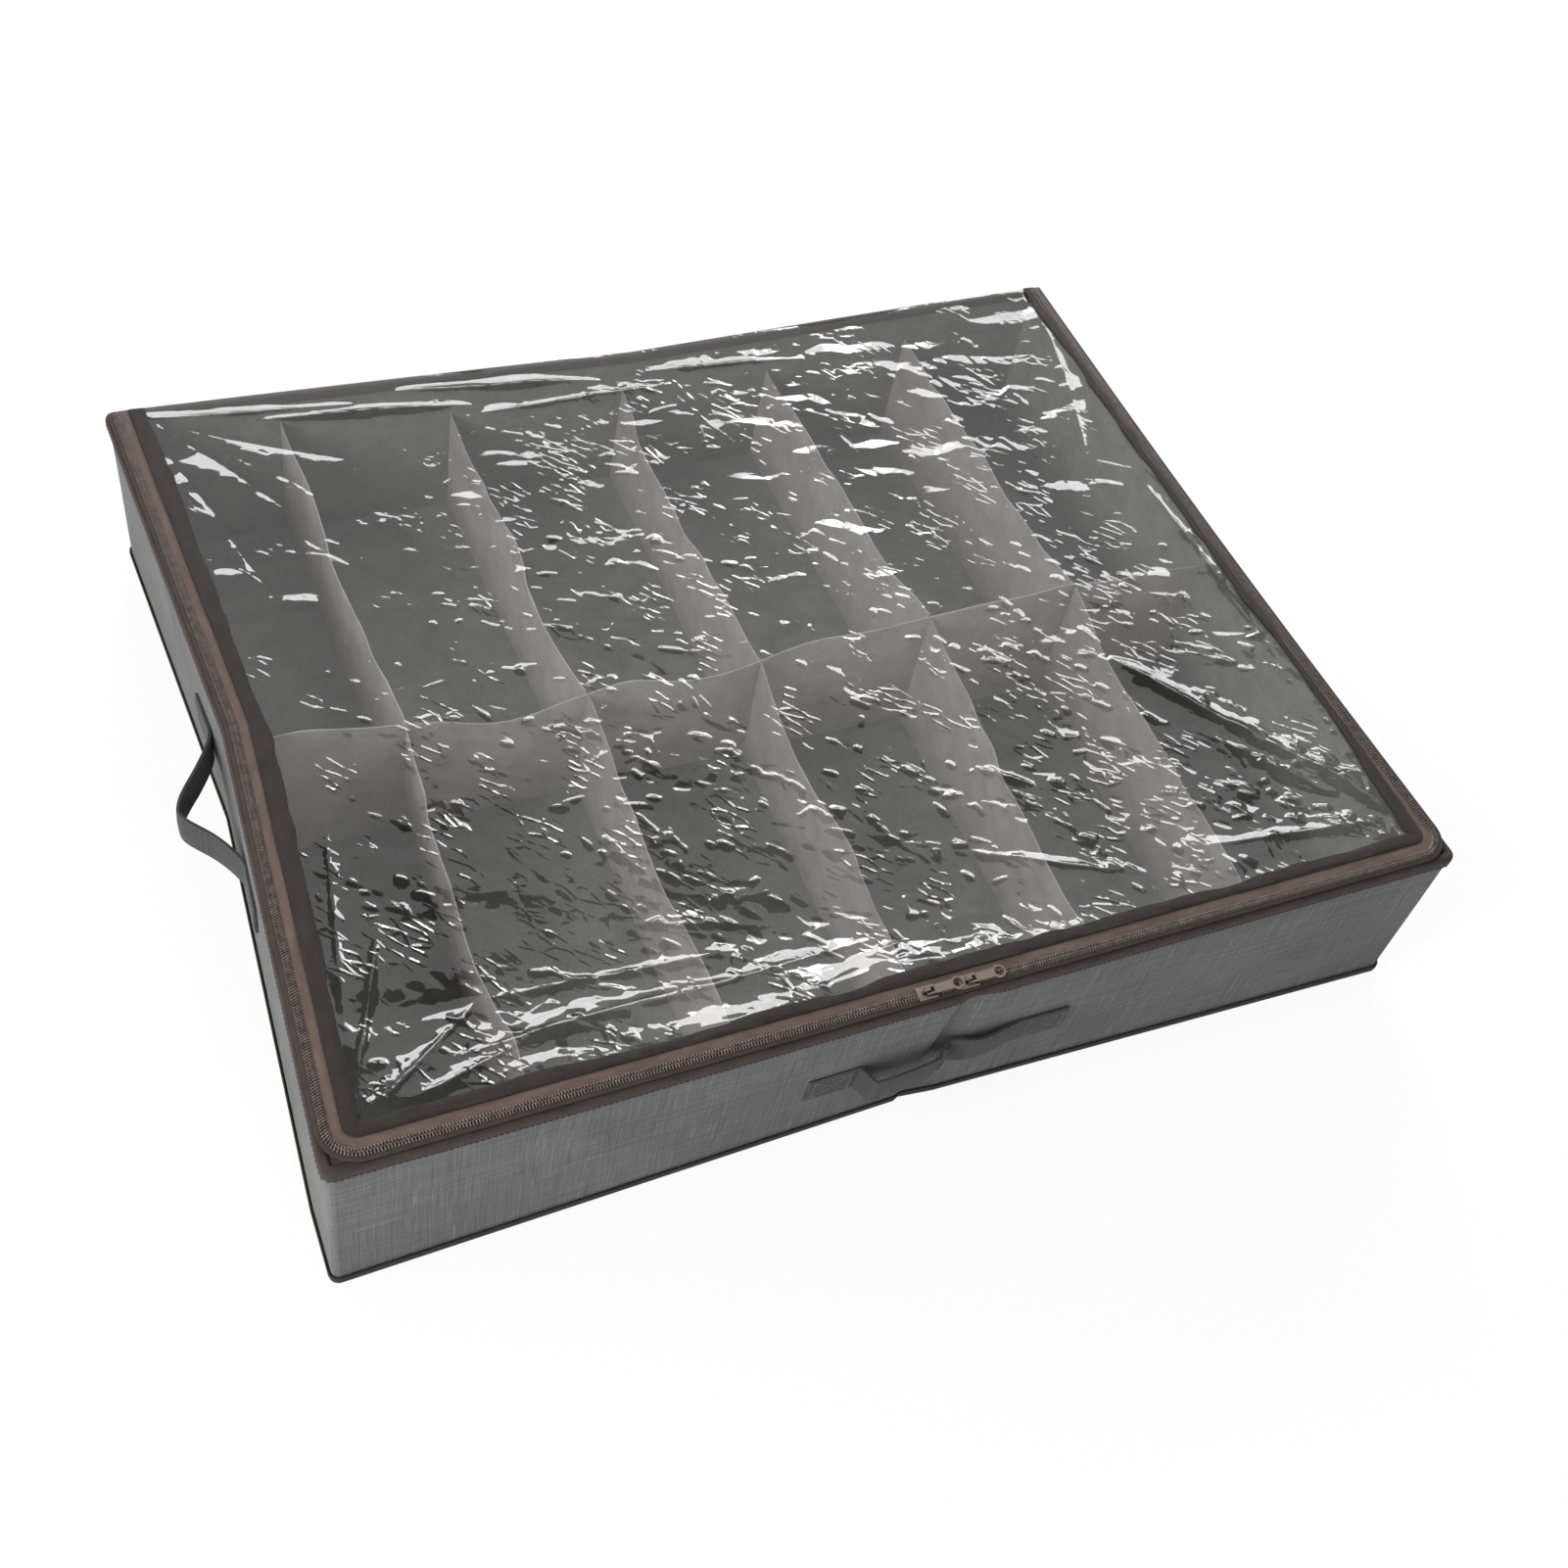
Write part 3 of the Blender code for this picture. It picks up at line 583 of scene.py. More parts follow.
def make_walls():
    heights = np.linspace(WALL_LOW, WALL_TOP, 22)
    panel_depth = HALF_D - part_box("back_panel")[1].y + CLOTH / 2
    lining_depth = LINING_FACE - CLOTH / 2
    for number, side in enumerate(SIDES):
        grid, out = side_grid(side, [(panel_depth, z) for z in heights])
        s = lengths(grid[:, 0])[:, None]
        sway = noise2(s, heights, WALL_RIPPLE, WALL_SEED + number) * WALL_SWAY
        sway *= np.sin(math.pi * np.linspace(0, 1, len(heights)))
        grid[:, :, :2] += out[:, None] * sway[:, :, None]
        keep(shell(side + "_cloth", warp(grid), CLOTH, LINEN), "box", "linen_fabric", side + "_panel")
        inner_heights = np.linspace(FLOOR_TOP - SEAM_LAP, WALL_TOP, 14)
        grid, _ = side_grid(side, [(lining_depth, z) for z in inner_heights])
        keep(shell(side + "_inner_cloth", warp(grid), CLOTH, LINING), "box", "lining", side + "_lining")
    limit = np.array((HALF_W - BOARD_INSET, HALF_D - BOARD_INSET, 1.0))
    for node in [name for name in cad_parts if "_board" in name]:
        low, high = (np.array(corner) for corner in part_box(node))
        wide = high - low > BOARD_INSET
        low = np.where(wide, np.maximum(low, -limit), low)
        high = np.where(wide, np.minimum(high, limit), high)
        # The front boards stop on either side of the crease
        if node == "front_board_left":
            high[0] = FOLD_FOOT - CREASE_LEFT - SHARP
        if node == "front_board_right":
            low[0] = FOLD_TOP + CREASE_RIGHT
        keep(slab(node + "_card", low, high, BOARD), "box", "board", node)


def make_floor():
    low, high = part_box("base_lining")
    keep(slab("floor_cloth", low, high, LINING), "box", "lining", "base_lining")
    low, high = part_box("base_panel")
    edge = BASE_LEG - SEAM_LAP
    low = Vector((-HALF_W + edge, -HALF_D + edge, low.z))
    high = Vector((HALF_W - edge, HALF_D - edge, high.z))
    keep(slab("under_cloth", low, high, LINEN), "box", "linen_fabric", "base_panel")


def make_bindings():
    """Tapes folded over the rim and under the foot, from profiles of depth inwards and height."""
    rim = [(0.0002, RIM_TOP - RIM_LEG), (-0.0004, RIM_TOP - RIM_LEG * 0.7),
           (-0.0005, RIM_TOP - RIM_LEG * 0.35), (-0.0001, RIM_TOP - 0.0012), (0.0006, RIM_TOP - 0.0003),
           (0.0018, RIM_TOP), (0.0038, RIM_TOP), (0.0050, RIM_TOP - 0.0004), (0.0056, RIM_TOP - 0.0015),
           (0.0057, RIM_TOP - 0.0060)]
    base = [(0.0000, BASE_LEG), (-0.0003, BASE_LEG * 0.6), (0.0001, 0.0014), (0.0009, 0.0005),
            (0.0022, 0.0004), (0.0052, 0.0004)]
    for number, side in enumerate(SIDES):
        grid, out = side_grid(side, rim, BINDING_SPACING)
        run = lengths(grid[:, 0])
        lift = noise2(run, 0 * run, RIM_RIPPLE, RIM_SEED + number) * RIM_SWAY
        lift += noise2(run, 0 * run, RIM_FINE_RIPPLE, RIM_FINE_SEED + number) * RIM_FINE_SWAY
        grid[:, :3, 2] += lift[:, None]
        grid = warp(grid)
        tape = shell("rim_tape_" + side, grid, CLOTH, RIM_TAPE)
        keep(tape, "box", "rim_binding", "rim_binding_" + side)
        flat_out = np.column_stack([out, np.zeros(len(out))])
        row = grid[:, 0] + flat_out * CLOTH * 0.5
        row[:, 2] += 0.0011
        sewn = stitches(f"rim_stitches_{side}", row + flat_out * 0.0005, flat_out, BROWN_THREAD)
        keep(sewn, "box", "rim_binding")
        grid, out = side_grid(side, base, BINDING_SPACING)
        tape = shell("base_tape_" + side, warp(grid), CLOTH, DARK_TAPE)
        keep(tape, "box", "dark_binding", "base_binding_" + side)


# Zip

def tuck(x, y):
    """On the right the zip's inner bands roll under towards the back, so less of them shows there."""
    inset = HALF_W - x
    share = TUCK * smooth((y + 0.30) / 0.16) * (1 - smooth((inset - 0.026) / 0.050))
    return x + np.clip(inset - ZIP_LINE - 0.002, 0, None) * share


def zip_path(offset, spacing=0.003):
    """Left, front and right of the rim at one distance in, with round corners, and directions inwards."""
    radius = max(ZIP_CORNER - offset, SHARP)
    x, y = HALF_W - offset - radius, HALF_D - offset - radius
    count = int((ZIP_END + HALF_D) / spacing)
    bend = np.linspace(0, math.pi / 2, 14)
    left = straight((-x - radius, ZIP_END), (-x - radius, -y), count, (-1.0, 0.0))
    front = straight((-x, -y - radius), (x, -y - radius), int(2 * HALF_W / spacing), (0.0, -1.0))
    right = straight((x + radius, -y), (x + radius, ZIP_END), count, (1.0, 0.0))
    path = np.concatenate([left[:-1], arc((-x, -y), radius, math.pi + bend), front[1:-1],
                           arc((x, -y), radius, 1.5 * math.pi + bend), right[1:]])
    return path[:, :2], -path[:, 2:]


def zip_grid(profile):
    """A band along the zip from a profile of distances in and heights."""
    columns = []
    for offset, z in profile:
        points, _ = zip_path(offset)
        points[:, 0] = tuck(points[:, 0], points[:, 1])
        columns.append(np.column_stack([points, np.full(len(points), z)]))
    return np.stack(columns, axis=1)


def zip_teeth(name, side):
    """One row of the coil: rounded bars across the tape, each bent over the zip's middle line."""
    points, inward = zip_path(ZIP_LINE, 0.001)
    run = lengths(points)
    shift = 0.0 if side > 0 else TOOTH_PITCH / 2
    arch = [(-0.00035, 0.0003), (0.0002, 0.00095), (0.0011, 0.00115), (0.0021, 0.0007), (0.0027, 0.0002)]
    ring_size, wire, slant = 6, 0.00056, 0.00025
    upright = np.array((0.0, 0.0, 1.0))
    made, faces = [], []
    for at in np.arange(0.002 + shift, run[-1] - 0.002, TOOTH_PITCH):
        spot = np.array([*read_line(at, run, points), TAPE_Z])
        into = np.array([*read_line(at, run, inward), 0.0])
        into /= np.linalg.norm(into)
        along = np.array((-into[1], into[0], 0.0))
        start = len(made)
        for step, (reach, rise) in enumerate(arch):
            thick = wire * (0.7 if step in (0, len(arch) - 1) else 1.0)
            middle = spot + into * side * reach + upright * rise + along * slant * side * (step - 2) / 2
            for k in range(ring_size):
                turn = side * math.tau * k / ring_size
                made.append(middle + (along * math.cos(turn) + upright * math.sin(turn)) * thick)
        faces += bar_faces(start, len(arch), ring_size)
    return new_object(name, warp(np.array(made)), faces, COIL)


def make_zip():
    """Both tapes, both rows of teeth and the lid's binding, from profiles of depth inwards and height."""
    edge = ZIP_LINE - 0.0004
    lower = [(0.0044, RIM_TOP - 0.0004), (0.0042, RIM_TOP + 0.0010), (0.0028, TAPE_Z - 0.0014),
             (0.0015, TAPE_Z - 0.0008), (0.0013, TAPE_Z - 0.0002), (0.0020, TAPE_Z + 0.0001),
             (0.0036, TAPE_Z), (edge, TAPE_Z)]
    # The lower tape takes the darker rim tape colour as painted shade, for the shadowed line between the
    # coil and the rim binding.
    tape = shell("zip_tape_lower", warp(zip_grid(lower)), TAPE, RIM_TAPE)
    keep(tape, "box", "zip_tape", "lower_zip_tape")
    keep(zip_teeth("zip_teeth_lower", -1), "box", "zip_coil", "lower_zip_coil")
    upper = [(ZIP_LINE + 0.0004, TAPE_Z), (0.0095, TAPE_Z), (0.0125, TAPE_Z + 0.0004),
             (0.0152, TAPE_Z + 0.0002), (0.0185, TAPE_Z - 0.0004)]
    tape = shell("zip_tape_upper", warp(zip_grid(upper)), TAPE, ZIP_TAPE)
    hinge_with_lid(keep(tape, None, "zip_tape", "upper_zip_tape"))
    teeth = zip_teeth("zip_teeth_upper", 1)
    hinge_with_lid(keep(teeth, None, "zip_coil", "upper_zip_coil"))
    rise = TAPE_Z + 0.0012
    cover = zip_grid([(0.0148, TAPE_Z + 0.0005), (0.0152, rise), (0.0180, rise + 0.0002), (0.0225, rise),
                      (0.0250, rise - 0.0001), (0.0256, TAPE_Z + 0.0004)])
    run = lengths(cover[:, 2])
    _, inward = zip_path(0.0180)
    wave = noise2(run, 0 * run, 0.045, 71) * 0.0016 + noise2(run, 0 * run, 0.014, 72) * 0.0009
    wave -= FRONT_NARROW * inward[:, 1]
    cover[:, 3:, :2] += (inward * wave[:, None])[:, None]
    cover[:, 1:5, 2] += (noise2(run, 0 * run, 0.02, 73) * 0.0005)[:, None]
    piece = shell("lid_tape", warp(cover), CLOTH, DARK_TAPE)
    hinge_with_lid(keep(piece, None, "dark_binding", "lid_binding"))


def make_sliders():
    for name in ("slider_left", "slider_right", "pull_left", "pull_right"):
        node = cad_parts[name]
        node.data.materials.clear()
        node.data.materials.append(METAL)
        soften = node.modifiers.new("soften", "BEVEL")
        soften.width = SLIDER_EDGE
        soften.segments = 2
        soften.limit_method = "ANGLE"


# Lid film

FILM_SPACING = 0.0011
FILM_BACK = ZIP_END + 0.003
SEWN = 0.008
# How far the film sags, and how far in from each sewn edge it takes to do so
SAG = 0.0095
LEFT_REACH, RIGHT_REACH, BACK_REACH = 0.060, 0.045, 0.055
FRONT_REACH, FRONT_LEFT_REACH = 0.085, 0.035
FRONT_VALLEY = 0.40


def film_sag(x, y):
    """How far the slack film hangs below its sewn edges, soonest along the front's left half."""
    left = 1 - smooth((x + 0.02) / 0.16)
    front = np.clip(y - FILM_FRONT - SEWN, 0, None)
    from_left = np.clip(x + FILM_HALF - SEWN, 0, None)
    from_right = np.clip(FILM_HALF - SEWN - x, 0, None)
    sides = (1 - np.exp(-from_left / LEFT_REACH)) * (1 - np.exp(-from_right / RIGHT_REACH))
    back = 1 - np.exp(-np.clip(ZIP_END - y, 0, None) / BACK_REACH)
    deep = 1 + FRONT_VALLEY * left * (1 - smooth((front - 0.05) / 0.09))
    reach = FRONT_REACH + (FRONT_LEFT_REACH - FRONT_REACH) * left
    return SAG * deep * sides * back * np.tanh(front / reach)


def ridge(height, xs, ys, start, end, rise, width):
    """Add a creased fold along a line to a field of heights, tapering to both ends."""
    start, end = np.array(start), np.array(end)
    run = end - start
    length = np.linalg.norm(run)
    run /= length
    reach = 4 * width
    low, high = np.minimum(start, end) - reach, np.maximum(start, end) + reach
    i0, i1 = np.searchsorted(xs, (low[0], high[0]))
    j0, j1 = np.searchsorted(ys, (low[1], high[1]))
    if i1 <= i0 or j1 <= j0:
        return
    dx = xs[i0:i1, None] - start[0]
    dy = ys[None, j0:j1] - start[1]
    along = (dx * run[0] + dy * run[1]) / length
    off = np.abs(-dx * run[1] + dy * run[0]) / width
    taper = np.clip(along * (1 - along) * 4, 0, 1) ** 0.7
    height[i0:i1, j0:j1] += rise * taper * np.exp(-off)


BIG_FOLDS = (
    # Start, end, rise and width: corner fans, the front's parallel folds, back strips and the right band
    ((-0.346, -0.284), (-0.255, -0.215), 0.004, 0.005),
    ((-0.342, -0.282), (-0.215, -0.245), 0.003, 0.006),
    ((-0.344, -0.27), (-0.3, -0.15), 0.0034, 0.005),
    ((-0.34, -0.24), (-0.315, -0.06), 0.0026, 0.006),
    ((-0.3, -0.252), (-0.12, -0.246), 0.003, 0.0055),
    ((-0.26, -0.218), (-0.11, -0.228), 0.0028, 0.005),
    ((-0.21, -0.252), (-0.02, -0.244), 0.0026, 0.0055),
    ((-0.17, -0.19), (-0.06, -0.222), 0.0022, 0.005),
    ((-0.33, 0.284), (-0.2, 0.276), 0.0016, 0.003),
    ((-0.27, 0.272), (-0.12, 0.262), 0.0034, 0.005),
    ((-0.17, 0.284), (-0.02, 0.272), 0.003, 0.0045),
    ((-0.12, 0.252), (0.03, 0.258), 0.0026, 0.005),
    ((0.01, 0.276), (0.14, 0.262), 0.0024, 0.0045),
    ((-0.34, 0.287), (-0.24, 0.14), -0.0007, 0.0034),
    ((-0.344, 0.284), (-0.2, 0.215), -0.0005, 0.003),
    ((-0.336, 0.25), (-0.3, 0.1), -0.0007, 0.0036),
    ((-0.3, 0.2), (-0.19, 0.06), -0.0005, 0.0026),
    ((-0.245, 0.19), (-0.165, 0.09), -0.0005, 0.0024),
    ((0.225, -0.08), (0.29, -0.18), 0.0048, 0.0072),
    ((0.275, -0.155), (0.34, -0.262), 0.005, 0.007),
    ((0.255, -0.16), (0.31, -0.235), 0.003, 0.0045),
    ((0.325, 0.08), (0.33, -0.12), 0.003, 0.005),
    ((0.335, 0.26), (0.3, 0.09), 0.0028, 0.005),
    ((0.2, -0.245), (0.33, -0.262), 0.0028, 0.005),
    ((0.06, -0.205), (0.15, -0.252), 0.0026, 0.005),
)
# Streams of short crinkles, each in links: the rise is a share of the width
CRINKLE_SEED = 7
CRINKLE_STREAMS = 470
STREAM_LINKS, LINK_STEP, LINK_STRAY = (2, 7), (0.008, 0.022), 0.005
CRINKLE_WIDTH, CRINKLE_RISE = (0.0013, 0.0024), (0.22, 0.66)
CRINKLE_SPREAD = 0.20
BACK_CRINKLE_TURN = math.radians(-28)
FRONT_FOLD_TURN = math.radians(-24)
# Long faint creases
LONG_CREASES = 60
LONG_TURN, LONG_SPREAD = math.radians(-64), 0.14
LONG_LENGTH, LONG_WIDTH, LONG_RISE = (0.03, 0.11), (0.0012, 0.0020), (0.12, 0.26)


def crinkle(height, xs, ys, middle, turn, length, rise, width):
    half = np.array((math.cos(turn), math.sin(turn))) * length / 2
    ridge(height, xs, ys, middle - half, middle + half, rise, width)


def film_heights(xs, ys):
    """Folds and crinkles of the film over a grid of its flat places."""
    height = np.zeros((len(xs), len(ys)))
    for start, end, rise, width in BIG_FOLDS:
        ridge(height, xs, ys, start, end, rise, width)
    rng = np.random.default_rng(CRINKLE_SEED)
    for _ in range(CRINKLE_STREAMS):
        place = np.array((rng.uniform(-FILM_HALF, FILM_HALF), rng.uniform(FILM_FRONT, ZIP_END)))
        share = smooth((place[0] - place[1] + 0.20) / 0.35)
        turn = BACK_CRINKLE_TURN + (CRINKLE_TURN - BACK_CRINKLE_TURN) * share
        turn += rng.normal(0, CRINKLE_SPREAD)
        for _ in range(rng.integers(*STREAM_LINKS)):
            place = place + rng.normal(0, LINK_STRAY, 2)
            place += np.array((math.cos(turn), math.sin(turn))) * rng.uniform(*LINK_STEP)
            spin = turn + rng.normal(0, CRINKLE_SPREAD)
            spin += rng.choice((0.9, -0.8)) if rng.uniform() < 0.15 else 0
            width = rng.uniform(*CRINKLE_WIDTH)
            rise = rng.choice((1, 1, -0.7)) * rng.uniform(*CRINKLE_RISE) * width
            rise *= 1 - 0.55 * smooth((place[0] + 0.15) / 0.3) * smooth((place[1] + 0.05) / 0.2)
            rise *= 1 - 0.80 * smooth((0.7 * place[1] - place[0] - 0.16) / 0.20)
            rise *= 1 + 0.50 * smooth((0.05 - place[1]) / 0.25)
            length = 0.007 + 0.024 * rng.beta(1.2, 3.5)
            crinkle(height, xs, ys, place, spin, length, rise, width)
    for _ in range(LONG_CREASES):
        place = np.array((rng.uniform(-FILM_HALF, FILM_HALF), rng.uniform(-0.20, 0.27)))
        turn = LONG_TURN + rng.normal(0, LONG_SPREAD)
        width = rng.uniform(*LONG_WIDTH)
        rise = rng.choice((1, -1)) * rng.uniform(*LONG_RISE) * width
        crinkle(height, xs, ys, place, turn, rng.uniform(*LONG_LENGTH), rise, width)
    gx, gy = np.meshgrid(xs, ys, indexing="ij")
    c, s = math.cos(FRONT_FOLD_TURN), math.sin(FRONT_FOLD_TURN)
    along = gx * c + gy * s + noise2(gx, gy, 0.06, 3) * 0.010
    across = gy * c - gx * s + noise2(gx, gy, 0.04, 4) * 0.008
    front_left = (1 - smooth(gx / 0.10)) * (1 - smooth((gy - FILM_FRONT - 0.045) / 0.060))
    height += crumple(along * 0.55, across, 0.021, 11) * 0.0020 * front_left
    height += crumple(along * 0.60, across, 0.007, 13) * 0.0004 * front_left
    height += crumple(along * 0.60, across, 0.012, 12) * (0.0004 + 0.0003 * smooth(gx / 0.15))
    height += noise2(gx + 0.3 * gy, gy * 1.6, 0.050, 5) * 0.0008
    return height


def film_surface(spacing):
    xs = np.linspace(-FILM_HALF, FILM_HALF, int(2 * FILM_HALF / spacing))
    ys = np.linspace(FILM_FRONT, FILM_BACK, int((FILM_BACK - FILM_FRONT) / spacing))
    x, y = np.meshgrid(xs, ys, indexing="ij")
    edge = np.minimum(FILM_HALF - np.abs(x), np.minimum(y - FILM_FRONT, FILM_BACK - y))
    z = TAPE_Z - 0.0002 - film_sag(x, y) + film_heights(xs, ys) * smooth((edge - 0.005) / 0.010)
    strip = np.clip(0.55 + 0.9 * noise2(x, 0 * x, 0.055, 6), 0, 1.3) * smooth((x + FILM_HALF) / 0.09)
    z -= 0.0022 * strip * smooth(1 - np.clip(ZIP_END - y, 0, None) / 0.045)
    corner_x, corner_y = np.abs(x) - (HALF_W - ZIP_CORNER), -y - (HALF_D - ZIP_CORNER)
    inside = (corner_x > 0) & (corner_y > 0)
    reach = np.hypot(corner_x, corner_y)
    limit = ZIP_CORNER - (HALF_W - FILM_HALF)
    shrink = np.where(inside & (reach > limit), limit / np.maximum(reach, 1e-9), 1.0)
    x = np.where(inside, np.sign(x) * (HALF_W - ZIP_CORNER + corner_x * shrink), x)
    y = np.where(inside, -(HALF_D - ZIP_CORNER + corner_y * shrink), y)
    return np.stack([tuck(x, y), y, z], axis=-1)


def make_film():
    piece = shell("lid_sheet", warp(film_surface(FILM_SPACING)), None, FILM)
    keep(piece, None, "clear_film", "lid_film")
    hinge_with_lid(piece)


# Dividers

CENTRE_TOP = (
    (-0.360, 0.124), (-0.305, 0.126), (-0.279, 0.122), (-0.255, 0.113), (-0.217, 0.101), (-0.185, 0.086),
    (-0.158, 0.088), (-0.139, 0.097), (-0.093, 0.113), (-0.051, 0.100), (-0.022, 0.097), (0.042, 0.104),
    (0.094, 0.105), (0.167, 0.120), (0.206, 0.119), (0.293, 0.104), (0.360, 0.106),
)
BAY = 0.1215
BAY_SWAY, CROSS_SWAY, FINE_SWAY = 0.0045, 0.006, 0.002
TOP_DIP, TOP_WAVE = 0.010, 0.004
CROSS_SEED = 100
CROSS_RUN = 0.29
JUNCTION_X = (-0.240, -0.120, 0.004, 0.130, 0.247)
BACK_X = (-0.249, -0.126, 0.007, 0.128, 0.248)
FRONT_X = (-0.244, -0.118, 0.000, 0.124, 0.240)
BACK_TOP = (0.109, 0.096, 0.098, 0.094, 0.103)
FRONT_TOP = (0.086, 0.092, 0.090, 0.098, 0.094)


def top_height(x):
    """Height of the long divider's top edge, with its turns rounded off."""
    places, heights = zip(*CENTRE_TOP)
    fine = np.linspace(places[0], places[-1], 200)
    level = np.interp(fine, places, heights)
    kernel = np.hanning(13)
    level = np.convolve(np.pad(level, 6, mode="edge"), kernel / kernel.sum(), mode="valid")
    return np.interp(x, fine, level)


def hang(x0, y0, top, sway_x, sway_y, rows=18):
    """A standing sheet from its foot line, the height of its top and how far its top leans."""
    rise = np.linspace(0, 1, rows)[None, :]
    low = FLOOR_TOP + CLEAR
    lean = rise ** 1.6
    return np.stack([x0[:, None] + sway_x[:, None] * lean, y0[:, None] + sway_y[:, None] * lean,
                     low + (top[:, None] - low) * rise], axis=-1)


def make_dividers():
    inner_x, inner_y = HALF_W - LINING_FACE - CLEAR, HALF_D - LINING_FACE - CLEAR
    x = np.linspace(-inner_x, inner_x, 220)
    sway = BAY_SWAY * np.sin(math.pi * x / BAY) + FINE_SWAY * noise2(x, 0 * x, 0.04, 81)
    grid = hang(x, 0 * x, top_height(x), 0 * x, sway)
    cloth = shell("long_divider", warp(grid), DIVIDER_THICK, DIVIDER)
    keep(cloth, "box", "divider_cloth", "centre_divider")
    near = 0.0012
    along = np.linspace(0, 1, 90)
    run, still = along * CROSS_RUN, 0 * along
    ends = np.sin(math.pi * along) ** 0.6
    rows = (("rear", 1, BACK_X, BACK_TOP), ("front", -1, FRONT_X, FRONT_TOP))
    for number, junction in enumerate(JUNCTION_X):
        for row, side, wall_x, wall_top in rows:
            y = side * (near + (inner_y - near) * along)
            seed = CROSS_SEED + number * 2 + side
            x = junction + (wall_x[number] - junction) * along
            lean = CROSS_SWAY * noise2(run, still, 0.075, seed)
            lean += FINE_SWAY * noise2(run, still, 0.022, seed + 50)
            top = top_height(junction) * (1 - along) + wall_top[number] * along
            top = top - TOP_DIP * ends + TOP_WAVE * noise2(run, still, 0.06, seed + 90) * ends
            grid = hang(x, y, top, lean * ends, 0 * y)
            cloth = shell(f"{row}_partition_{number + 1}", warp(grid), DIVIDER_THICK, DIVIDER)
            keep(cloth, "box", "divider_cloth", f"{row}_divider_{number + 1}")


# Strap handles

HANDLE_HALF, TAB = 0.088, 0.030
FRONT_CENTRE = 0.007
STRAP_COLUMNS, STRAP_BULGE = 9, 0.0006
LOOP_FREE = {"front": 0.0, "left": 0.8, "right": 0.5}
FRONT_ROUTE = (
    (-0.0577, 0.0), (-0.0545, 0.0010), (-0.050, 0.0120), (-0.046, 0.0128), (-0.026, 0.0120),
    (-0.006, 0.0100), (0.001, 0.0096), (0.004, 0.0040), (0.009, 0.0032), (0.030, 0.0045), (0.050, 0.0006),
    (0.0577, 0.0),
)
SIDE_ROUTE = (
    (-0.0577, 0.0), (-0.049, 0.0015), (-0.027, 0.0095), (-0.004, 0.0190), (0.008, 0.0200), (0.028, 0.0085),
    (0.049, 0.0010), (0.0577, 0.0),
)


def smooth_route(points, steps):
    """A Catmull-Rom curve through the route's points."""
    ends = np.array([points[0], *points, points[-1]])
    t = np.linspace(0, 1, steps, endpoint=False)[:, None]
    route = []
    for a, b, c, d in zip(ends, ends[1:], ends[2:], ends[3:]):
        bend = (a - 2.5 * b + 2 * c - d / 2) * t ** 2 + (1.5 * (b - c) + (d - a) / 2) * t ** 3
        route.append(b + (c - a) * t / 2 + bend)
    return np.concatenate([*route, ends[-1:]])


def strap_grid(side, centre, route, low, high):
    """A strap along its route on one wall, on edge and bulging a little across its width."""
    turn, _, offset = SIDES[side]
    wall = -offset + 0.0002
    width = np.linspace(low, high, STRAP_COLUMNS)
    grid = np.zeros((len(route), len(width), 3))
    grid[:, :, 0] = centre + route[:, :1]
    bulge = STRAP_BULGE * np.sin(math.pi * np.linspace(0, 1, STRAP_COLUMNS))
    grid[:, :, 1] = wall - route[:, 1:] - bulge
    grid[:, :, 2] = width
    return grid @ turned(turn)


def box_stitch(name, grid, out):
    """A sewn box with a cross through it, near the edge of a strap's end."""
    rows, cols = grid.shape[:2]
    low_row, high_row = (int(round(share * (rows - 1))) for share in (0.10, 0.90))
    low_col, high_col = (int(round(share * (cols - 1))) for share in (0.14, 0.86))
    lift = out * (STRAP_THICK / 2 + 0.0002)
    a, b = grid[low_row, low_col] + lift, grid[high_row, low_col] + lift
    c, d = grid[high_row, high_col] + lift, grid[low_row, high_col] + lift
    corners = [a, b, c, d, a, c, b, d]
    line = []
    for here, there in zip(corners, corners[1:]):
        line.extend(here + (there - here) * t for t in np.linspace(0, 1, 20, endpoint=False))
    line.append(corners[-1])
    return stitches(name, line, [out] * len(line), GREY_THREAD, pitch=0.0032, length=0.0023, width=0.0010)


def make_handle(side, centre, route, ends):
    """A strap in two halves, each blended from its sewn end, which takes the box's stance, to the loop,
    which takes less of it, and its two sewn ends.
    """
    low, high = (corner.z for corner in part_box(side + "_handle"))
    turn, _, _ = SIDES[side]
    out = np.array((math.sin(turn), -math.cos(turn), 0.0))
    body = side + "_handle"
    inner = HANDLE_HALF - TAB
    loop = smooth_route(route, 10)
    middle = int(np.argmin(np.abs(loop[:, 0])))
    for part, end in ((loop[: middle + 1], ends[0]), (loop[middle:], ends[1])):
        grid = strap_grid(side, centre, part, low, high)
        held = 1 - LOOP_FREE[side] * smooth(1 - np.abs(part[:, 0]) / inner)
        grid += (warp(grid) - grid) * held[:, None, None]
        piece = shell(f"{side}_strap_{end}", grid, STRAP_THICK, STRAP)
        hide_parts(body)
        sewn_end, free_end = (grid[0], grid[-1]) if end == ends[0] else (grid[-1], grid[0])
        start, stop = sewn_end[STRAP_COLUMNS // 2], free_end[STRAP_COLUMNS // 2]
        flat = stop - start
        flat -= out * flat.dot(out)
        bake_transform(piece)
    for end, first, last in ((ends[0], -HANDLE_HALF, -inner), (ends[1], inner, HANDLE_HALF)):
        run = np.column_stack([np.linspace(first, last, 16), np.zeros(16)])
        grid = warp(strap_grid(side, centre, run, low, high))
        tab = shell(f"{side}_strap_end_{end}", grid, STRAP_THICK, STRAP)
        keep(tab, "box", "strap", f"{side}_handle_tab_{end}")
        keep(box_stitch(f"{side}_box_stitch_{end}", grid, out), "box", "strap")


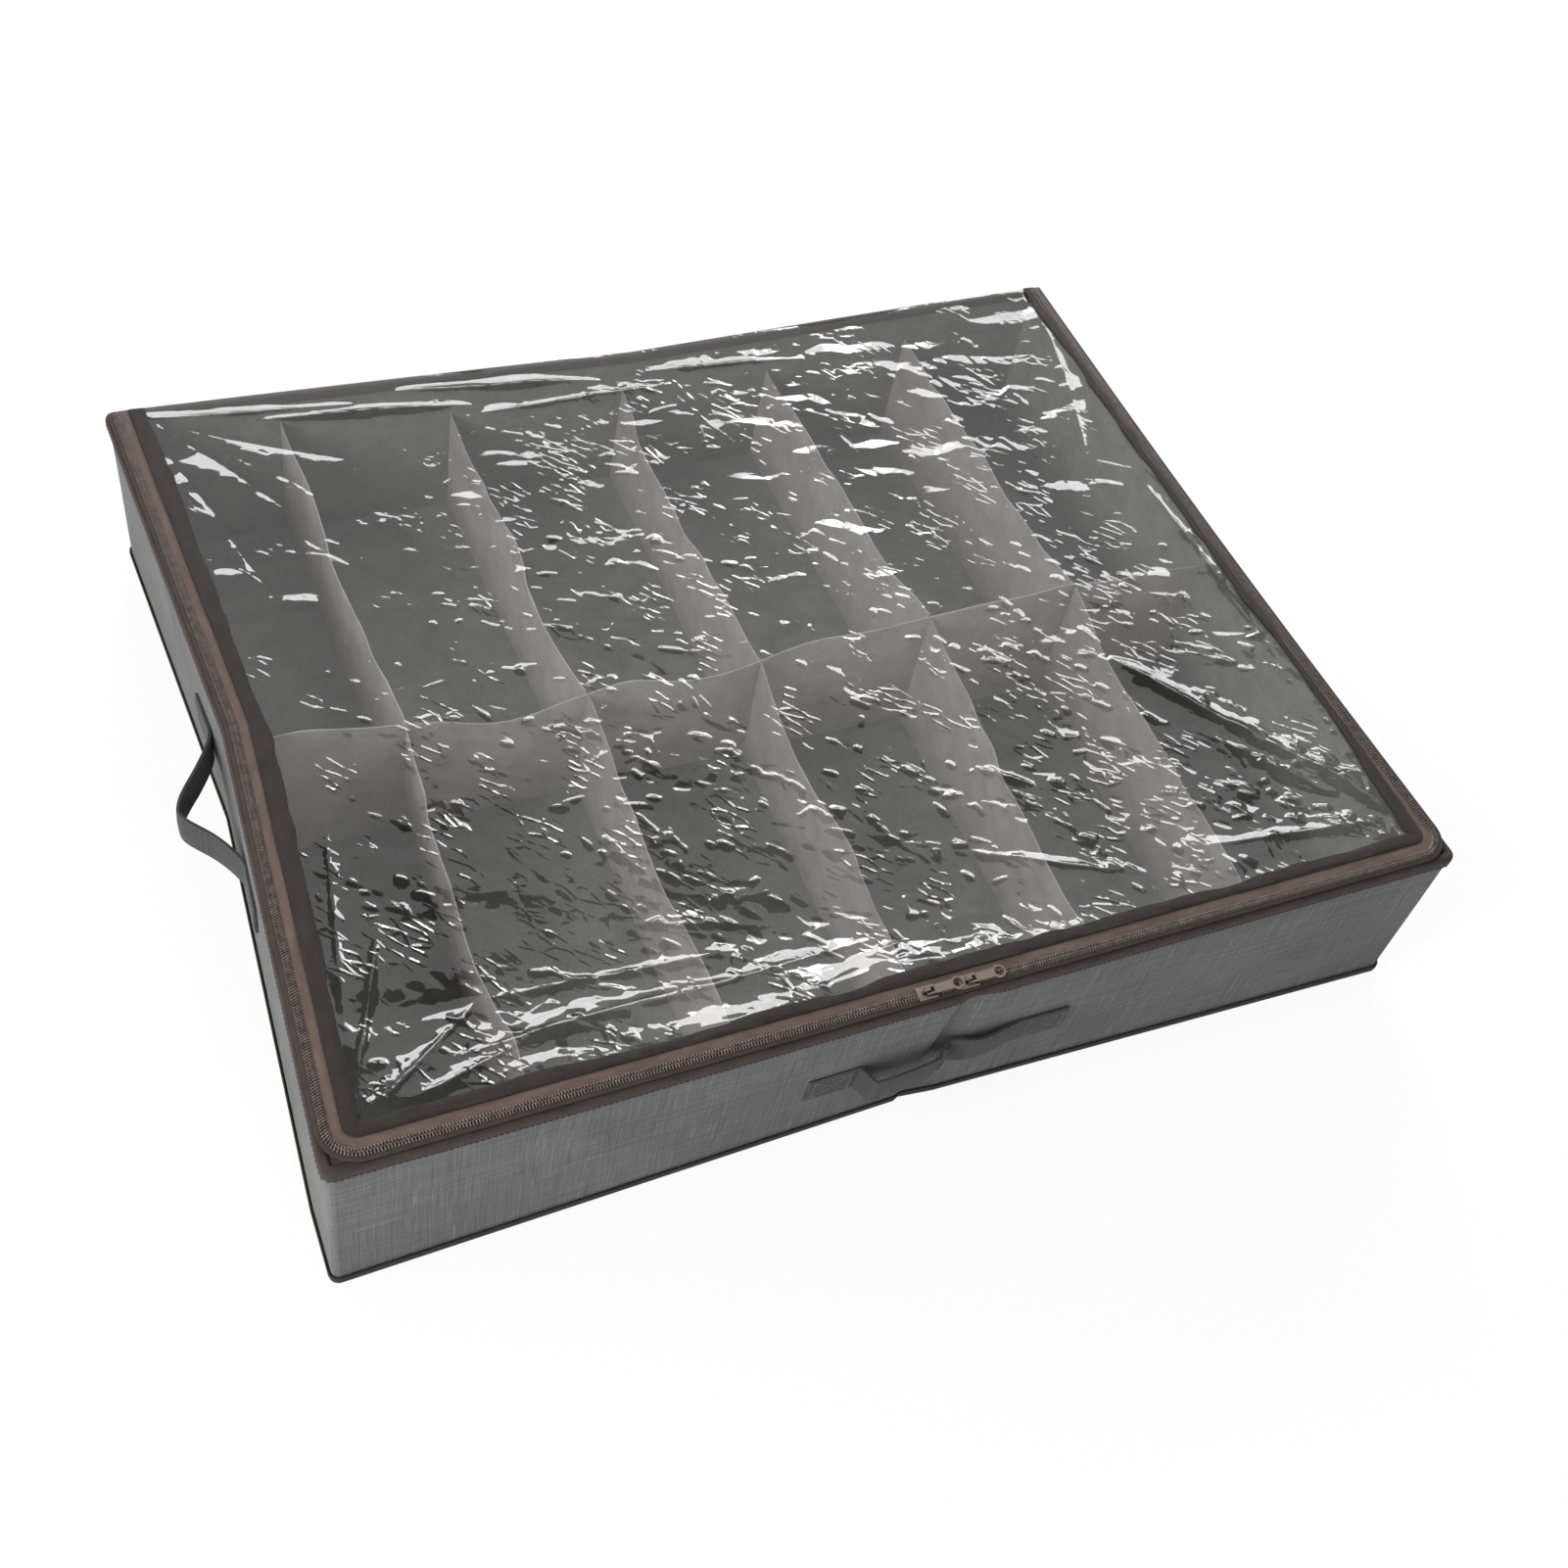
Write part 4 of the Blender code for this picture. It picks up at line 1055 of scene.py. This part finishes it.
def make_handles():
    make_handle("front", FRONT_CENTRE, FRONT_ROUTE, ("left", "right"))
    make_handle("left", 0.0, SIDE_ROUTE, ("back", "front"))
    make_handle("right", 0.0, tuple((-s, out) for s, out in SIDE_ROUTE[::-1]), ("front", "back"))


# Camera, light and floor

# Where the camera stands, the floor point that it looks at, and its roll
CAMERA_PLACE = Vector((-0.44397, -0.75480, 1.02951))
CAMERA_AIM = Vector((0.02377, -0.03313, 0.0))
CAMERA_ROLL = math.radians(13.514)
FOCAL_PIXELS, FRAME_PIXELS, SENSOR = 1930.0, 1601.0, 36.0
FLOOR_GLOW = 0.92
WHITE = (1, 1, 1, 1)
WALL_LIGHT, CEILING_LIGHT, SOFT_LIGHT = 1.0, 0.10, 0.42
CEILING_EDGE = (0.20, 0.38)


def make_camera():
    data = bpy.data.cameras.new("camera")
    data.sensor_width = SENSOR
    data.lens = SENSOR * FOCAL_PIXELS / FRAME_PIXELS
    data.clip_start = 0.01
    camera = bpy.data.objects.new("camera", data)
    level = (CAMERA_AIM - CAMERA_PLACE).to_track_quat("-Z", "Y").to_matrix().to_4x4()
    camera.matrix_world = Matrix.Translation(CAMERA_PLACE) @ level @ Matrix.Rotation(CAMERA_ROLL, 4, "Z")
    bpy.context.scene.collection.objects.link(camera)
    bpy.context.scene.camera = camera


def softbox(name, place, aim, size, power):
    data = bpy.data.lights.new(name, "AREA")
    data.shape = "RECTANGLE"
    data.size, data.size_y = size
    data.energy = power
    light = bpy.data.objects.new(name, data)
    light.location = place
    light.rotation_mode = "QUATERNION"
    light.rotation_quaternion = (Vector(aim) - Vector(place)).to_track_quat("-Z", "Y")
    light.visible_camera = False
    bpy.context.scene.collection.objects.link(light)


def make_lights():
    softbox("back_softbox", (0.35, 1.95, 0.95), (0.0, 0.0, 0.1), (1.6, 0.8), 28.0)
    softbox("veil_panel", (1.08, 1.73, 2.29), (0.0, 0.0, 0.1), (3.2, 2.3), 21.0)
    softbox("right_softbox", (1.45, 1.55, 0.95), (0.1, 0.0, 0.1), (1.2, 0.8), 22.0)
    softbox("left_softbox", (-2.3, -0.5, 1.8), (0.0, 0.0, 0.05), (1.2, 1.2), 50.0)
    softbox("corner_softbox", (-0.75, -0.8, 0.4), (-0.37, -0.30, 0.07), (0.4, 0.4), 2.0)


def make_world():
    """White where the camera looks, a plain soft light elsewhere, and a dim ceiling for reflections."""
    world = bpy.data.worlds.new("studio")
    bpy.context.scene.world = world
    g = Graph("studio", world)

    def light(strength):
        return g.node("Background", Color=WHITE, Strength=strength)

    path = g.node("LightPath")
    place = g.node("TexCoord").outputs["Generated"]
    height = g.node("SeparateXYZ", Vector=place).outputs["Z"]
    mirrored = g.shaders(g.fade(height, *CEILING_EDGE), light(WALL_LIGHT), light(CEILING_LIGHT))
    around = g.shaders(path.outputs["Is Glossy Ray"], light(SOFT_LIGHT), mirrored)
    g.surface(g.shaders(g.seen(path), around, light(WALL_LIGHT)))


def make_floor_plane():
    mesh = bpy.data.meshes.new("floor")
    work = bmesh.new()
    bmesh.ops.create_grid(work, x_segments=1, y_segments=1, size=6.0)
    work.to_mesh(mesh)
    work.free()
    g = Graph("studio_floor")
    g.principled(Base_Color=(0.85, 0.85, 0.85, 1), Roughness=0.9, Specular_IOR_Level=0.1)
    path = g.node("LightPath")
    glow = g.node("Emission", Color=WHITE, Strength=1.0)
    seen = g.math("MAXIMUM", g.seen(path), path.outputs["Is Glossy Ray"])
    g.surface(g.shaders(g.math("MULTIPLY", seen, FLOOR_GLOW), g.shader, glow))
    mesh.materials.append(g.material)
    floor = bpy.data.objects.new("floor", mesh)
    floor.location.z = -CLEAR
    bpy.context.scene.collection.objects.link(floor)


bpy.context.scene.view_settings.view_transform = "Standard"
make_camera()
make_world()
make_lights()
make_floor_plane()
make_walls()
make_floor()
make_bindings()
make_zip()
make_sliders()
make_dividers()
make_film()
make_handles()
